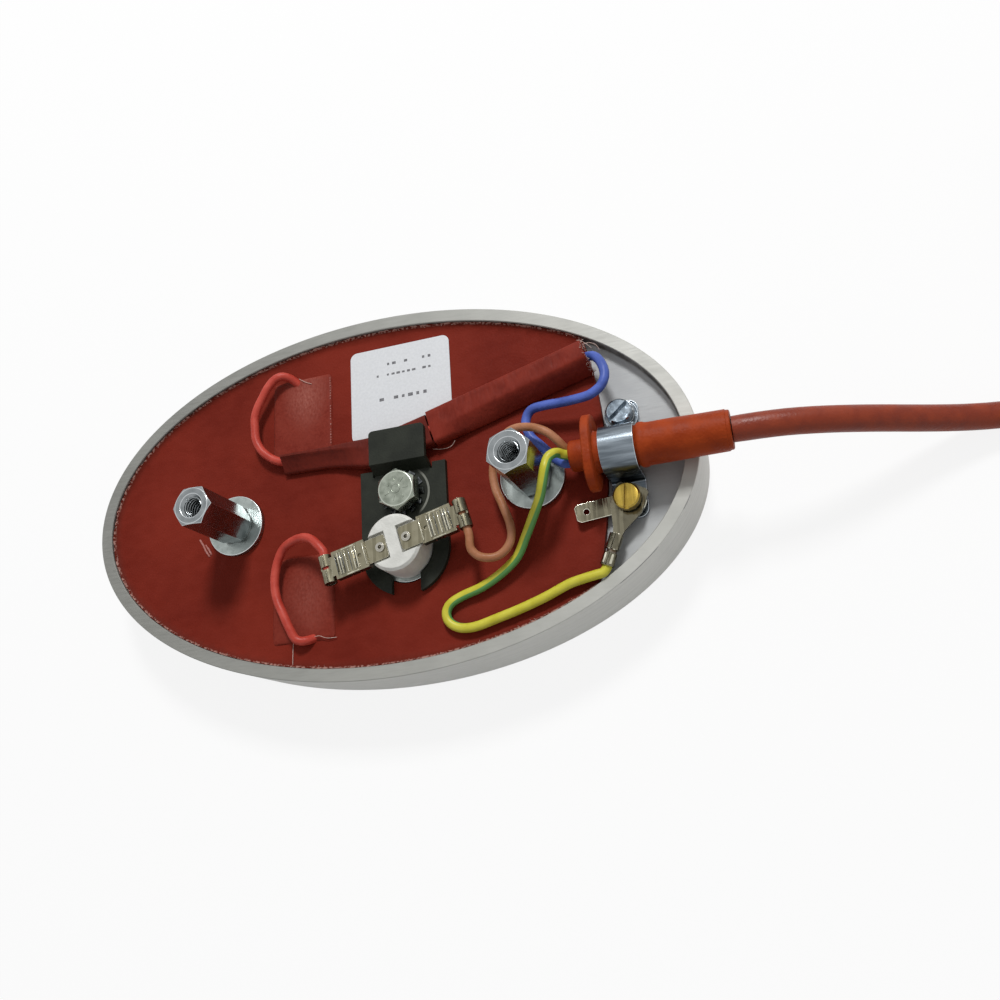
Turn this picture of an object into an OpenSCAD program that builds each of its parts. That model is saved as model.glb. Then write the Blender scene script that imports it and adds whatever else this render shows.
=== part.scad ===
/* [Plate] */
// Length of the oval plate
plate_length = 173.6; // [170:0.2:182]
// Width of the oval plate
plate_width = 100.8; // [98:0.2:112]
// Thickness of the plate at its rim
plate_thickness = 19.2; // [17:0.2:25]
// Width of the rim round the pocket
rim_width = 3.5; // [2.5:0.1:4]
// Depth of the pocket below the rim
pocket_depth = 3.5; // [2.5:0.1:4.5]

/* [Mat] */
// Thickness of the silicone heating mat
mat_thickness = 2; // [1.6:0.1:2.8]
// Gap between the mat and the wall of the pocket
mat_gap = 0.2; // [0.2:0.1:1]
// Radius of the curve that ends the mat near the cable
mat_end_radius = 130; // [100:5:180]
// Gap between the mat's end and the cable strap
mat_strap_gap = 0.3; // [0.2:0.1:1]
// Thickness of the patches over the lead joints
patch_thickness = 0.8; // [0.4:0.1:0.8]
// Width of each patch
patch_width = 18.4; // [14:0.2:19]
// Length of the lower patch
patch_length = 23.4; // [18:0.2:24]
// Length of the label along the plate
label_length = 29.6; // [20:0.2:30]
// Height of the label across the plate
label_height = 27; // [18:0.5:27]
// Thickness of the label
label_thickness = 0.15; // [0.1:0.05:0.2]

/* [Standoffs] */
// Distance from the plate's left tip to the left standoff
standoff_inset_left = 44.8; // [43:0.2:46]
// Distance from the plate's right tip to the right standoff
standoff_inset_right = 42.4; // [42:0.1:42.8]
// Width of a standoff across its flats
standoff_flats = 10; // [9:0.5:10]
// Height of a standoff above its washer
standoff_height = 21; // [19:0.5:30]
// Depth of the threaded hole in a standoff
standoff_bore_depth = 12; // [8:0.5:14]
// Diameter of the thread under and in the standoffs
thread_d = 6; // [5:0.5:6.5]
// Diameter of the hole that such a thread is cut in
thread_core_d = 5; // [4:0.1:5]
// Length of a standoff's stud below its face
stud_length = 11; // [9:0.5:12]
// Diameter of the large washers
post_washer_d = 17; // [14:0.5:17]
// Thickness of the large washers
post_washer_thickness = 1.5; // [1:0.1:1.8]

/* [Clamp] */
// Width of the clamp's lower plate
clamp_width = 24.4; // [20:0.2:28]
// Thickness of the clamp's sheet
clamp_sheet = 1.5; // [1:0.1:2]
// Width of the tab that holds the sleeve down
tab_width = 15.9; // [12:0.1:16.2]
// Length of the clamp's tab beyond its step
tab_length = 9.2; // [6:0.2:11]
// Distance from the heat switch to the clamp's bolt
bolt_distance = 15.1; // [14.6:0.1:17]
// Width of the slot at the clamp's open end
fork_slot = 8; // [5:0.5:12]
// Width of the bolt's head across its flats
bolt_flats = 10; // [9:0.5:11]
// Height of the bolt's head
bolt_head_height = 4; // [3:0.2:5]
// Length of the bolt under its head
bolt_length = 14; // [11:0.5:15]
// Thickness of the toothed washer under the bolt
bolt_washer_thickness = 1.2; // [0.8:0.1:1.6]

/* [Heat switch] */
// Diameter of the ceramic body
ceramic_d = 15; // [13:0.5:15]
// Height of the ceramic body
ceramic_height = 9.5; // [8.5:0.1:9.8]
// Diameter of the cap's flange
cap_d = 17; // [16:0.5:19]
// Width of the rib between the two terminals
ceramic_rib = 3.4; // [2.4:0.2:3.6]
// Width of a terminal blade
blade_width = 6.3; // [5.5:0.1:6.4]
// Thickness of a terminal blade
blade_thickness = 0.8; // [0.5:0.1:0.9]
// Turn of the terminals from the plate's long axis
terminal_turn = 14; // [12:0.5:16]
// Length of a push-on receptacle
receptacle_length = 9.4; // [8.6:0.2:9.8]
// Sheet thickness of the receptacles
receptacle_sheet = 0.4; // [0.3:0.05:0.5]

/* [Sleeves] */
// Wall of the insulating sleeves
sleeve_wall = 0.4; // [0.3:0.05:0.4]
// Height of the sleeves where the clamp presses on them
sleeve_pressed_height = 3.3; // [3.3:0.1:4]
// Length of the wide sleeve
wide_sleeve_length = 45; // [43:0.5:46]
// Length of the crimp splice
splice_length = 10; // [8:0.5:12]

/* [Cable] */
// Diameter of the cable's sheath
sheath_d = 6.4; // [6:0.1:6.6]
// Diameter of each insulated conductor
conductor_d = 2.44; // [2:0.04:2.44]
// Diameter of the heater leads
lead_d = 2.4; // [1.8:0.1:2.4]
// Length of the gland's collar
collar_length = 4; // [2:0.2:4]
// Thickness of the gland's flange
flange_thickness = 2.4; // [2:0.2:3]
// Length of the gland's flange across the cable
flange_length = 19.4; // [16:0.2:20]
// Height of the gland's flange
flange_height = 13.8; // [12.6:0.2:14.2]
// Length of the gland's tapered body
gland_body_length = 32.5; // [30:0.5:33]
// Diameter of the gland under the strap
gland_waist_d = 9.8; // [9:0.1:10.2]

/* [Strap and earth] */
// Distance from the strap's middle to the plate's tip
strap_inset = 18.6; // [17.6:0.2:19]
// Width of the strap along the cable
strap_width = 8.6; // [8:0.2:9.2]
// Thickness of the strap
strap_thickness = 0.9; // [0.7:0.1:1.2]
// Distance between the strap's two screws
strap_screw_spacing = 22.4; // [22:0.2:24]
// Diameter of the strap screws' thread
strap_thread_d = 4; // [3:0.5:4]
// Diameter of the slotted screw heads
screw_head_d = 6.6; // [6:0.1:7.2]
// Height of the slotted screw heads
screw_head_height = 2.6; // [2:0.1:3]
// Diameter of the flat washer under the upper screw
strap_washer_d = 8.6; // [7.6:0.2:8.8]
// Thickness of the earth tab and of the ring terminal
earth_sheet = 0.8; // [0.6:0.1:1]
// Thickness of the toothed washer under the earth screw
earth_washer_thickness = 0.9; // [0.7:0.1:1.2]

/* [Hidden] */
$fn = 48;

// Clearances
thread_gap = 0.1;
hole_gap = 0.3;
seat_gap = 0.1;
soft_gap = 0.3;
// How far a cutting shape reaches past what it cuts
past = 1;

// Heights: the pocket's floor and the mat's top
floor_z = plate_thickness - pocket_depth;
deck_z = floor_z + mat_thickness;
post_base_z = deck_z + post_washer_thickness;
clamp_top_z = deck_z + clamp_sheet;
tab_z = deck_z + soft_gap + sleeve_pressed_height + 2 * seat_gap;

// Standoffs, seen from above: left and right
post_left = [standoff_inset_left - plate_length / 2, -3.5];
post_right = [plate_length / 2 - standoff_inset_right, -3.5];
post_left_turn = 0;
post_right_turn = 18;
thread_run_out = 1.5;

// Heat switch and clamp, seen from above
switch_at = [8.9, -17.5];
bolt_at = switch_at + [0, bolt_distance];
bolt_turn = 31;
clamp_hole_gap = 0.3;
clamp_shoulder = 7.6;
step_start = 6.4;
step_run = 2;
tab_corner = 1.2;
cap_flange = 0.8;
cap_cup_d = 13.5;
recess_depth = blade_thickness + receptacle_sheet;
blade_z = deck_z + ceramic_height - recess_depth;
blade_top_z = blade_z + blade_thickness;
rivet_at = 3.7;
rivet_d = 1.7;
rivet_head_d = 2.5;
rivet_head_height = 0.4;
rivet_depth = 5;
curl_r = 0.6;
receptacle_start = ceramic_d / 2 + seat_gap;
receptacle_width = blade_width + 2 * receptacle_sheet + 4 * seat_gap;
barrel_at = receptacle_start + receptacle_length + 2.3;
barrel_length = 7.6;
barrel_drop = 0.6;

// Cable strap, gland and earth stack
strap_at = [plate_length / 2 - strap_inset, -2.2];
strap_start = strap_at.x - strap_width / 2;
mouth_x = strap_start - 1.5 - flange_thickness - collar_length;
gland_z = deck_z + seat_gap + flange_height / 2;
gland_end_x = mouth_x + collar_length + flange_thickness + gland_body_length;
mouth = [mouth_x, strap_at.y, gland_z];
waist_r = gland_waist_d / 2;
strap_r = waist_r + seat_gap;
ear_reach = strap_screw_spacing / 2 + strap_width / 2;
strap_bend = 0.6;
screw_upper = strap_at + [0, strap_screw_spacing / 2];
screw_lower = strap_at - [0, strap_screw_spacing / 2];
strap_screw_length = 9;
flat_washer_thickness = 1;
spring_washer_thickness = 1.2;
earth_screw_length = 10;
strap_bore_depth = 8;
ear_top_z = floor_z + strap_thickness;
tab_base_z = deck_z;
ring_z = tab_base_z + earth_sheet;
earth_washer_z = ring_z + earth_sheet;
earth_tab_rise = 12;
crimp_wall = 0.42;
// The ring terminal leans as steeply as it can with its end off the wall of the pocket
ring_reach = 17.4;
ring_clearance = 2.4;
pocket_a = plate_length / 2 - rim_width;
pocket_b = plate_width / 2 - rim_width;
function wall_past_ring(lean) =
    pocket_b * sqrt(1 - pow((screw_lower.x - ring_reach * cos(lean)) / pocket_a, 2))
    + screw_lower.y - ring_reach * sin(lean);
ring_turn = 180 + max([for (lean = [20 : 0.5 : 90]) if (wall_past_ring(lean) > ring_clearance) lean]);
earth_tab_turn = ring_turn - 57;
crimp_z = deck_z + seat_gap + conductor_d / 2 + thread_gap + crimp_wall;

// Three conductors side by side in the sheath
trefoil_r = conductor_d / sqrt(3) + seat_gap / 2;
function trefoil(turn) = [0, trefoil_r * cos(turn), trefoil_r * sin(turn)];

// Sleeves: the wide one lies straight, from the clamp's tab to the blue conductor
sleeve_z = deck_z + soft_gap;
wide_start = [18.1, 14.1];
wide_turn = 14.5;
wide_end_height = 6;
splice_at = 16.4;
splice_d = 3.3;
function wide_height(d) = 3.6 + (wide_end_height - 3.6) * d / wide_sleeve_length;
function wide_axis(d) = concat(wide_start + d * [cos(wide_turn), sin(wide_turn)], sleeve_z + wide_height(d) / 2);
splice_z = wide_axis(splice_at).z;
function in_splice(d) = [wide_axis(splice_at + d).x, wide_axis(splice_at + d).y, splice_z];

function unit(v) = v / norm(v);
function at_height(p, z) = [p.x, p.y, z];
function moved(origin, points) = [for (p = points) origin + p];

// Place on a terminal's own axis, out along it and across it, at the crimp barrel's height
function at_terminal(turn, out, side) = [
    switch_at.x + out * cos(turn) - side * sin(turn),
    switch_at.y + out * sin(turn) + side * cos(turn),
    blade_top_z - barrel_drop
];

// Place along the ring terminal, out from its screw
function at_ring(out) = [
    screw_lower.x + out * cos(ring_turn), screw_lower.y + out * sin(ring_turn), crimp_z
];

// Points farther out than a line across the plate, drawn out or in with the plate's width
function drawn_out(from, stretch, points) = [
    for (p = points) [p.x, abs(p.y) > abs(from) ? from + (p.y - from) * stretch : p.y, p.z]
];
// Points at shares of the way between two ends, each with its sag to the left of the way and its height
function strung(start, end, points) = let (way = [end.x - start.x, end.y - start.y], left = unit([-way.y, way.x])) [
    for (p = points) [start.x + way.x * p[0] + left.x * p[1], start.y + way.y * p[0] + left.y * p[1], p[2]]
];
upper_stretch = (plate_width / 2 - 23.1) / 27.3;
lower_stretch = (plate_width / 2 - 23.8) / 26.6;

// Patches and label, seen from above: the upper patch reaches down to the narrow sleeve
patch_x = -21.4;
patch_upper_end = plate_width / 2 - 13;
sleeve_side_y = 14;
patch_upper_length = patch_upper_end - sleeve_side_y;
patch_lower_end = 12 - plate_width / 2;
label_at = [8.6, plate_width / 2 - 22.1];

// Routes of the leads and conductors, as offsets from what each stretch lies beside
deck = [0, 0, deck_z];
low_wall = [0, -plate_width / 2, deck_z];
earth_run_start = [22.8, 10.6, 1.35];
upper_lead_route = concat(
    moved(deck, drawn_out(11.4, upper_stretch, [
        [-21.4, 35.9, 2.1], [-22.1, 37, 2.2], [-23.9, 38, 2.6], [-26.2, 38.4, 3.1], [-28.6, 37.4, 3.5],
        [-30.6, 35.1, 3.7], [-32.2, 32.5, 3.7], [-33.8, 29.8, 3.6], [-34.8, 26.9, 3.5], [-34.9, 23.8, 3.3],
        [-34.6, 20.2, 3.1], [-33.1, 16.9, 2.8], [-30.8, 14.6, 2.5], [-28.4, 13.1, 2.2]
    ])),
    moved(deck, [
        [-25.6, 12.4, 2], [-20, 12.25, 1.92], [-12, 12.1, 1.92], [-4, 11.5, 1.92], [2, 10.8, 1.95],
        [9, 11.8, 1.95], [17, 13.8, 1.95]
    ]),
    [wide_axis(8), in_splice(-1), in_splice(splice_length / 2 - 1)]
);
lower_lead_route = concat(
    moved(deck, drawn_out(-11.3, lower_stretch, [
        [-19, -37.6, 2.1], [-20.6, -38.2, 2.15], [-22.6, -37.6, 2.4], [-24.2, -34.6, 3], [-25.8, -30.8, 3.3],
        [-27.5, -27, 3.3], [-28.3, -23, 3.3], [-28.1, -19, 3.3], [-27.1, -15.6, 3.4], [-25.2, -13.1, 4],
        [-21.8, -11.9, 5.3], [-17.8, -11.8, 6.7], [-14.7, -13.2, 7.8], [-12.6, -15.2, 8.4]
    ])),
    [for (side = [-5.2, -3.6, 0, 2.6]) at_terminal(terminal_turn + 180, barrel_at, side)]
);
blue_route = concat(
    moved(mouth + trefoil(210), [[2, 0, 0], [0, 0, 0], [-2, 0.4, -0.6]]),
    moved(at_height(post_right, deck_z), [
        [7.5, 2, 5.1], [5.7, 4.1, 4.9], [3.4, 6.8, 4.7], [1.2, 9.4, 4.5], [0.1, 12.8, 4.1], [0.6, 15.4, 4.1],
        [2.3, 16.8, 4.5], [5.8, 16.9, 5.1], [9.8, 16.7, 5.5], [14, 16.7, 5.9], [17.7, 17, 6.4]
    ]),
    moved(wide_axis(wide_sleeve_length), [
        [3.4, -10.2, 3.4], [4.6, -7.4, 3.2], [4, -3.9, 2.4], [2.2, -1, 1.2], [-0.4, -0.2, 0.2]
    ]),
    [wide_axis(wide_sleeve_length - 6), wide_axis(wide_sleeve_length - 12)],
    [in_splice(splice_length + 1), in_splice(splice_length / 2 + 1)]
);
brown_route = concat(
    moved(mouth + trefoil(330), [[2, 0, 0], [0, 0, 0], [-1.4, 1.4, 1.4], [-3, 3.4, 2.9]]),
    moved(at_height(post_right, deck_z), [
        [6.4, 8, 9.9], [2.8, 9.9, 9.5], [-1.4, 10.8, 8.5], [-4.8, 9.9, 7.3], [-7.4, 6.5, 6.1], [-9.1, 1.9, 5.3],
        [-8.8, -2.9, 5.1], [-7.2, -7.7, 5.1], [-5.6, -12.7, 5.3], [-5.4, -16.5, 5.7], [-7, -19.4, 5.9]
    ]),
    moved(at_height(switch_at, deck_z), [[25.8, -6.9, 6.3], [22.4, -6.6, 7.3], [20.3, -4.5, 8.1]]),
    [for (side = [-6, -3.8, 0, 2.6]) at_terminal(terminal_turn, barrel_at, side)]
);
earth_route = concat(
    moved(mouth + trefoil(90), [[2, 0, 0], [0, 0, 0], [-1.4, 0.1, 1], [-2.4, 0.2, 2.4], [-3.4, -0.6, 4.2]]),
    moved(at_height(post_right, deck_z), [
        [7.2, -0.5, 13.3], [6.5, -3.1, 14.1], [5.5, -6.1, 13.2], [4, -9.1, 11.1], [1.2, -12.7, 8.1],
        [-1.8, -16.5, 5.2], [-5, -20.8, 3.1], [-9.6, -24.2, 2.3]
    ]),
    moved(low_wall, [
        [29.4, 20.1, 1.7], [24.2, 18.6, 1.35], [20.8, 17, 1.35], [19.5, 14.8, 1.35], [20.1, 12.4, 1.35],
        earth_run_start
    ]),
    strung(low_wall + earth_run_start, at_ring(19.6), [
        [0.105, -1.11, deck_z + 1.35], [0.271, -1.01, deck_z + 1.35], [0.432, -0.76, deck_z + 1.4],
        [0.6, -0.16, deck_z + 1.5], [0.771, 0.82, deck_z + 1.7], [0.883, 0.78, deck_z + 1.8]
    ]),
    [at_ring(19.6) + [-2, 0.3, 0], at_ring(18.9) + [-0.5, 0, 0], at_ring(17.4), at_ring(13.5), at_ring(9.8)]
);

// Supply cable: from inside the gland down to the bench and straight to the coil
coil_r = 41.4;
coil_inner_r = 35;
rest_z = sheath_d / 2 + 0.05;
layer = sheath_d;
sheath_start = mouth + [2.2, 0, 0];
cable_end_x = 196;
coil_at = [211, strap_at.y + coil_r];
cable_route = concat(
    [sheath_start, [76, strap_at.y, gland_z], [86, strap_at.y, gland_z]],
    [[gland_end_x, strap_at.y, gland_z]],
    [for (p = [
        [101, 24.4], [107, 23.6], [113, 21.9], [119, 19.6], [125, 16.9], [131, 13.9], [137, 10.8],
        [143, 7.9], [149, 5.5], [155, 3.9], [162, 3.3]
    ]) [p.x, strap_at.y, p.y]],
    [for (x = [173, 184, cable_end_x]) [x, strap_at.y, rest_z]]
);
// The tail leaves the inner turn on a smaller circle, inside the coil
tail_start = 100;
tail_bend_r = 26;
tail_sweep = 115;
tail_centre = coil_at + (coil_inner_r - tail_bend_r) * [sin(tail_start), -cos(tail_start)];
function on_tail(turn) = at_height(
    tail_centre + tail_bend_r * [sin(tail_start + turn), -cos(tail_start + turn)], rest_z);
tail_route = [for (turn = [40 : 5 : tail_sweep]) on_tail(turn)];
tail_end = on_tail(tail_sweep);
tail_heading = tail_start + tail_sweep;
ferrule_length = 8;
ferrule_d = 1.7;
ferrule_collar_d = 3;
ferrule_collar_length = 4;
floor_rest_z = ferrule_collar_d / 2 + 0.05;

// Bare conductors past the tail's sheath: blue, brown and earth, each on a circle of its own
tail_conductor_length = 27;
tail_radii = [30, 20, 15];
tail_turns = [210, 90, 330];
function landing(s) = let (f = min(1, max(0, (s - 6) / 12))) f * f * (3 - 2 * f);
function on_tail_conductor(i, s) = let (r = tail_radii[i], a = s / r * 180 / PI, start = trefoil(tail_turns[i])) [
    r * sin(a) - start.y * sin(a), r * (1 - cos(a)) + start.y * cos(a),
    (rest_z + start.z) * (1 - landing(s)) + floor_rest_z * landing(s)
];
function tail_conductor_route(i) =
    [for (s = [0.15, 1.5, 5, 9, 13, 17, 21, 24, tail_conductor_length]) on_tail_conductor(i, s)];

// Points of an oval
function oval(a, b) = [for (i = [0 : 179]) [a * cos(2 * i), b * sin(2 * i)]];

// Curve through hand-chosen points, each gap cut into k steps
function between(a, b, c, d, t) =
    0.5 * (2 * b + (c - a) * t + (2 * a - 5 * b + 4 * c - d) * t * t + (3 * b - a - 3 * c + d) * t * t * t);
function smooth(p, k) = let (m = len(p) - 1) [
    for (i = [0 : m - 1], j = [0 : k - 1])
        between(p[max(i - 1, 0)], p[i], p[i + 1], p[min(i + 2, m)], j / k),
    p[m]
];
function heading(p, i) = unit(p[min(i + 1, len(p) - 1)] - p[max(i - 1, 0)]);
function across(t) = unit(cross(t, [0, 0, 1]));

// Faces between rings of points, outward or, flipped, inward
function wall_faces(rings, sides, first, flip) = [
    for (i = [0 : rings - 2], k = [0 : sides - 1])
        let (a = first + i * sides + k, b = first + i * sides + (k + 1) % sides, c = b + sides, d = a + sides)
            each flip ? [[c, b, a], [d, c, a]] : [[a, b, c], [a, c, d]]
];

// Solid round tube along a route
module wire(route, d, sides = 8, steps = 2) {
    p = smooth(route, steps);
    n = len(p);
    rings = [
        for (i = [0 : n - 1])
            let (t = heading(p, i), s = across(t), u = cross(s, t))
                for (k = [0 : sides - 1])
                    let (a = 360 * (k + 0.5) / sides) p[i] + d / 2 * (cos(a) * s + sin(a) * u)
    ];
    first_cap = [for (k = [0 : sides - 1]) sides - 1 - k];
    last_cap = [for (k = [0 : sides - 1]) (n - 1) * sides + k];
    polyhedron(points = rings, faces = concat(wall_faces(n, sides, 0, false), [first_cap, last_cap]));
}

// Share of a sleeve's full height at u across it: level up to the ridge, then down to its low side
function roof(u, ridge, low) = 1 - (1 - low) * min(1, max(0, u - ridge) / (1 - ridge));

// Outline of a sleeve's section from its right side over the top: across -1 to 1, up 0 to 1
function sleeve_outline(ridge) = let (q = 2 * ridge - 1) [
    [1, 0.3], [1, 0.6], [0.93, 0.85], [0.8, 1], [q / 2 + 0.4, 1], [q, 1], [-0.8, 1], [-0.93, 0.85], [-1, 0.6],
    [-1, 0.3], [-0.93, 0.1], [-0.8, 0], [0, 0], [0.8, 0], [0.93, 0.1]
];

// Points of the section [x, y, width, height, ridge, low], so far in from its outside
function flat_ring(s, t, rest, inset) = [
    for (p = sleeve_outline(s[4]))
        let (
            side = p.x * (s[2] / 2 - inset) * across(t),
            high = max(s[3] * roof((1 + p.x) / 2, s[4], s[5]), 2 * sleeve_wall + 0.3)
        )
            [s[0] + side.x, s[1] + side.y, rest + inset + (high - 2 * inset) * p.y]
];

// Hollow flattened tube whose sections all rest at one height
module flat_sleeve(sections, rest, wall) {
    sides = len(sleeve_outline(0.5));
    n = len(sections);
    centres = [for (s = sections) [s[0], s[1], rest]];
    outer = [for (i = [0 : n - 1]) each flat_ring(sections[i], heading(centres, i), rest, 0)];
    inner = [for (i = [0 : n - 1]) each flat_ring(sections[i], heading(centres, i), rest, wall)];
    m = n * sides;
    e = (n - 1) * sides;
    ends = [for (k = [0 : sides - 1]) let (j = (k + 1) % sides) each [
        [k, m + k, m + j], [k, m + j, j], [e + j, m + e + j, m + e + k], [e + j, m + e + k, e + k]
    ]];
    polyhedron(
        points = concat(outer, inner),
        faces = concat(wall_faces(n, sides, 0, false), wall_faces(n, sides, m, true), ends)
    );
}

// Flat sheet with round corners, its middle at the origin
module rounded_sheet(w, h, r, t) {
    linear_extrude(t) {
        square([w - 2 * r, h], center = true);
        square([w, h - 2 * r], center = true);
        for (x = [-1, 1], y = [-1, 1]) translate([x * (w / 2 - r), y * (h / 2 - r)]) circle(r = r);
    }
}

module flat_washer(d, bore, t) {
    difference() {
        cylinder(d = d, h = t);
        translate([0, 0, -past]) cylinder(d = bore, h = t + 2 * past);
    }
}

// Lock washer with twisted outer teeth
module toothed_washer(bore, root_d, d, t, teeth) {
    translate([0, 0, t * 0.25]) flat_washer(root_d, bore, t * 0.5);
    for (i = [0 : teeth - 1]) rotate(i * 360 / teeth) translate([root_d / 2 - 0.2, 0, t / 2])
        rotate([25, 0, 0]) translate([0, -0.6 * t, -0.2 * t]) cube([(d - root_d) / 2 + 0.2, 1.2 * t, 0.4 * t]);
}

// Split spring washer
module spring_washer(d, bore, t) {
    difference() {
        flat_washer(d, bore, t);
        rotate(70) translate([0, -0.3, -past]) cube([d, 0.6, t + 2 * past]);
    }
}

// Screw with a slotted cylindrical head standing on z = 0
module slotted_screw(thread, length, turn) {
    edge = 0.4;
    slot_w = 1.1;
    slot_depth = screw_head_height * 0.45;
    difference() {
        rotate_extrude() polygon([
            [0, -length], [thread / 2 - edge, -length], [thread / 2, edge - length], [thread / 2, 0],
            [screw_head_d / 2, 0], [screw_head_d / 2, screw_head_height - edge],
            [screw_head_d / 2 - edge, screw_head_height], [0, screw_head_height]
        ]);
        rotate(turn) translate([-screw_head_d, -slot_w / 2, screw_head_height - slot_depth])
            cube([2 * screw_head_d, slot_w, slot_depth + past]);
    }
}

// Hexagon with its upper corners turned off
module hex_head(flats, height) {
    corner = flats / sqrt(3);
    intersection() {
        cylinder(r = corner, h = height, $fn = 6);
        rotate_extrude() polygon([
            [0, 0], [corner + past, 0], [corner + past, height - 1.5], [flats / 2 - 0.3, height], [0, height]
        ]);
    }
}

// Crimped barrel along +X round a wire, with a seam on top
module crimp(length, bore) {
    outer = bore + 2 * crimp_wall;
    difference() {
        rotate([0, 90, 0]) cylinder(d = outer, h = length);
        translate([-past, 0, 0]) rotate([0, 90, 0]) cylinder(d = bore, h = length + 2 * past);
        translate([length / 2, 0, outer / 2]) rotate([45, 0, 0])
            cube([length + 2 * past, 0.35, 0.35], center = true);
    }
}

module heating_plate() {
    stud_bore = stud_length - post_washer_thickness - mat_thickness + thread_run_out;
    bolt_bore = bolt_length - bolt_washer_thickness - clamp_sheet - mat_thickness + thread_run_out;
    color("silver") difference() {
        linear_extrude(plate_thickness) polygon(oval(plate_length / 2, plate_width / 2));
        translate([0, 0, floor_z]) linear_extrude(pocket_depth + past)
            polygon(oval(plate_length / 2 - rim_width, plate_width / 2 - rim_width));
        for (p = [post_left, post_right]) translate([p.x, p.y, floor_z - stud_bore])
            cylinder(d = thread_d + 2 * thread_gap, h = stud_bore + past);
        translate([bolt_at.x, bolt_at.y, floor_z - bolt_bore])
            cylinder(d = thread_d + 2 * thread_gap, h = bolt_bore + past);
        for (p = [screw_upper, screw_lower]) translate([p.x, p.y, floor_z - strap_bore_depth])
            cylinder(d = strap_thread_d + 2 * thread_gap, h = strap_bore_depth + past);
    }
}

module heating_mat() {
    edge = rim_width + mat_gap;
    color("firebrick") translate([0, 0, floor_z]) difference() {
        intersection() {
            linear_extrude(mat_thickness) polygon(oval(plate_length / 2 - edge, plate_width / 2 - edge));
            translate([strap_start - mat_strap_gap - mat_end_radius, 3, -past])
                cylinder(r = mat_end_radius, h = mat_thickness + 2 * past);
        }
        for (p = [post_left, post_right, bolt_at]) translate([p.x, p.y, -past])
            cylinder(d = thread_d + 2 * hole_gap, h = mat_thickness + 2 * past);
        translate([switch_at.x, switch_at.y, -past])
            cylinder(d = cap_d + 2 * hole_gap, h = mat_thickness + 2 * past);
    }
}

module lead_patch(y, length) {
    color("firebrick") translate([patch_x, y, deck_z]) rounded_sheet(patch_width, length, 0.8, patch_thickness);
}
module lead_patch_upper() { lead_patch(patch_upper_end - patch_upper_length / 2, patch_upper_length); }
module lead_patch_lower() { lead_patch(patch_lower_end + patch_length / 2, patch_length); }

module rating_label() {
    color("whitesmoke") translate([label_at.x, label_at.y, deck_z])
        rounded_sheet(label_length, label_height, 2, label_thickness);
}

module red_lead_upper() { color("red") wire(upper_lead_route, lead_d); }
module red_lead_lower() { color("red") wire(lower_lead_route, lead_d); }

// Round where it takes the lead, pressed flat under the clamp's tab
module narrow_sleeve() {
    h = sleeve_pressed_height;
    color("brown") flat_sleeve(
        [
            [-26.3, 11.5, 5.2, 4.3, 0.2, 0.35], [-19, 11.4, 5.2, 4.2, 0.2, 0.4],
            [-12, 11.3, 5.6, 4, 0.25, 0.45], [-6, 10.9, 7, 3.8, 0.3, 0.6], [0.2, 10.4, 8.6, h, 0.4, 1],
            [4.6, 10.9, 9, h, 0.5, 1], [9, 11.8, 9, h, 0.5, 1], [13.2, 12.8, 9, h, 0.5, 1], [17.6, 13.9, 9, h, 0.5, 1]
        ],
        sleeve_z, sleeve_wall
    );
}

module wide_sleeve() {
    color("firebrick") flat_sleeve(
        [for (i = [0 : 8]) let (d = wide_sleeve_length * i / 8, p = wide_axis(d))
            [p.x, p.y, 10 - 1.6 * i / 8, wide_height(d), 0.7, i == 0 ? 1 : i == 1 ? 0.6 : 0.3]],
        sleeve_z, sleeve_wall
    );
}

// Crimped tube with a stop in its middle
module butt_splice() {
    r = splice_d / 2;
    bore = (conductor_d + 0.16) / 2;
    half = splice_length / 2;
    color("lightgrey") translate(in_splice(0)) rotate([0, 0, wide_turn]) rotate([0, 90, 0])
        rotate_extrude() polygon([
            [bore, 0], [r, 0], [r, half - 1], [r - 0.3, half - 0.6], [r - 0.3, half + 0.6], [r, half + 1],
            [r, splice_length], [bore, splice_length]
        ]);
}

// Side view of the sheet where it steps up from the mat to the sleeve
module clamp_step() {
    rise = tab_z - deck_z;
    polygon([
        [-2, 0], [0.4, 0], [step_run + 0.4, rise], [step_run + tab_length, rise],
        [step_run + tab_length, rise + clamp_sheet], [step_run - 0.4, rise + clamp_sheet],
        [-0.4, clamp_sheet], [-2, clamp_sheet]
    ]);
}

module clamp_bracket() {
    bore = ceramic_d + 2 * clamp_hole_gap;
    color("dimgray") translate([bolt_at.x, bolt_at.y, 0]) {
        translate([0, 0, deck_z]) difference() {
            linear_extrude(clamp_sheet) difference() {
                union() {
                    translate([0, -bolt_distance]) circle(d = clamp_width);
                    translate([-clamp_width / 2, -bolt_distance])
                        square([clamp_width, bolt_distance + clamp_shoulder]);
                }
                translate([-tab_width / 2 - 0.5, step_start - 0.6]) square([tab_width + 1, clamp_shoulder]);
                translate([-fork_slot / 2, -bolt_distance - clamp_width]) square([fork_slot, clamp_width]);
            }
            translate([0, -bolt_distance, -past]) cylinder(d = bore, h = clamp_sheet + 2 * past);
            translate([0, 0, -past]) cylinder(d = thread_d + 2 * hole_gap, h = clamp_sheet + 2 * past);
        }
        intersection() {
            translate([-tab_width / 2, step_start, deck_z]) rotate([90, 0, 90])
                linear_extrude(tab_width) clamp_step();
            translate([0, step_start - 3 + (step_run + tab_length + 3) / 2, 0])
                rounded_sheet(tab_width, step_run + tab_length + 3, tab_corner, plate_thickness * 2);
        }
    }
}

module bracket_bolt() {
    head_z = clamp_top_z + bolt_washer_thickness;
    color("lightgrey") translate([bolt_at.x, bolt_at.y, head_z]) {
        rotate(bolt_turn) hex_head(bolt_flats, bolt_head_height);
        translate([0, 0, -bolt_length]) cylinder(d = thread_d, h = bolt_length + 0.1);
    }
}

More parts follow.
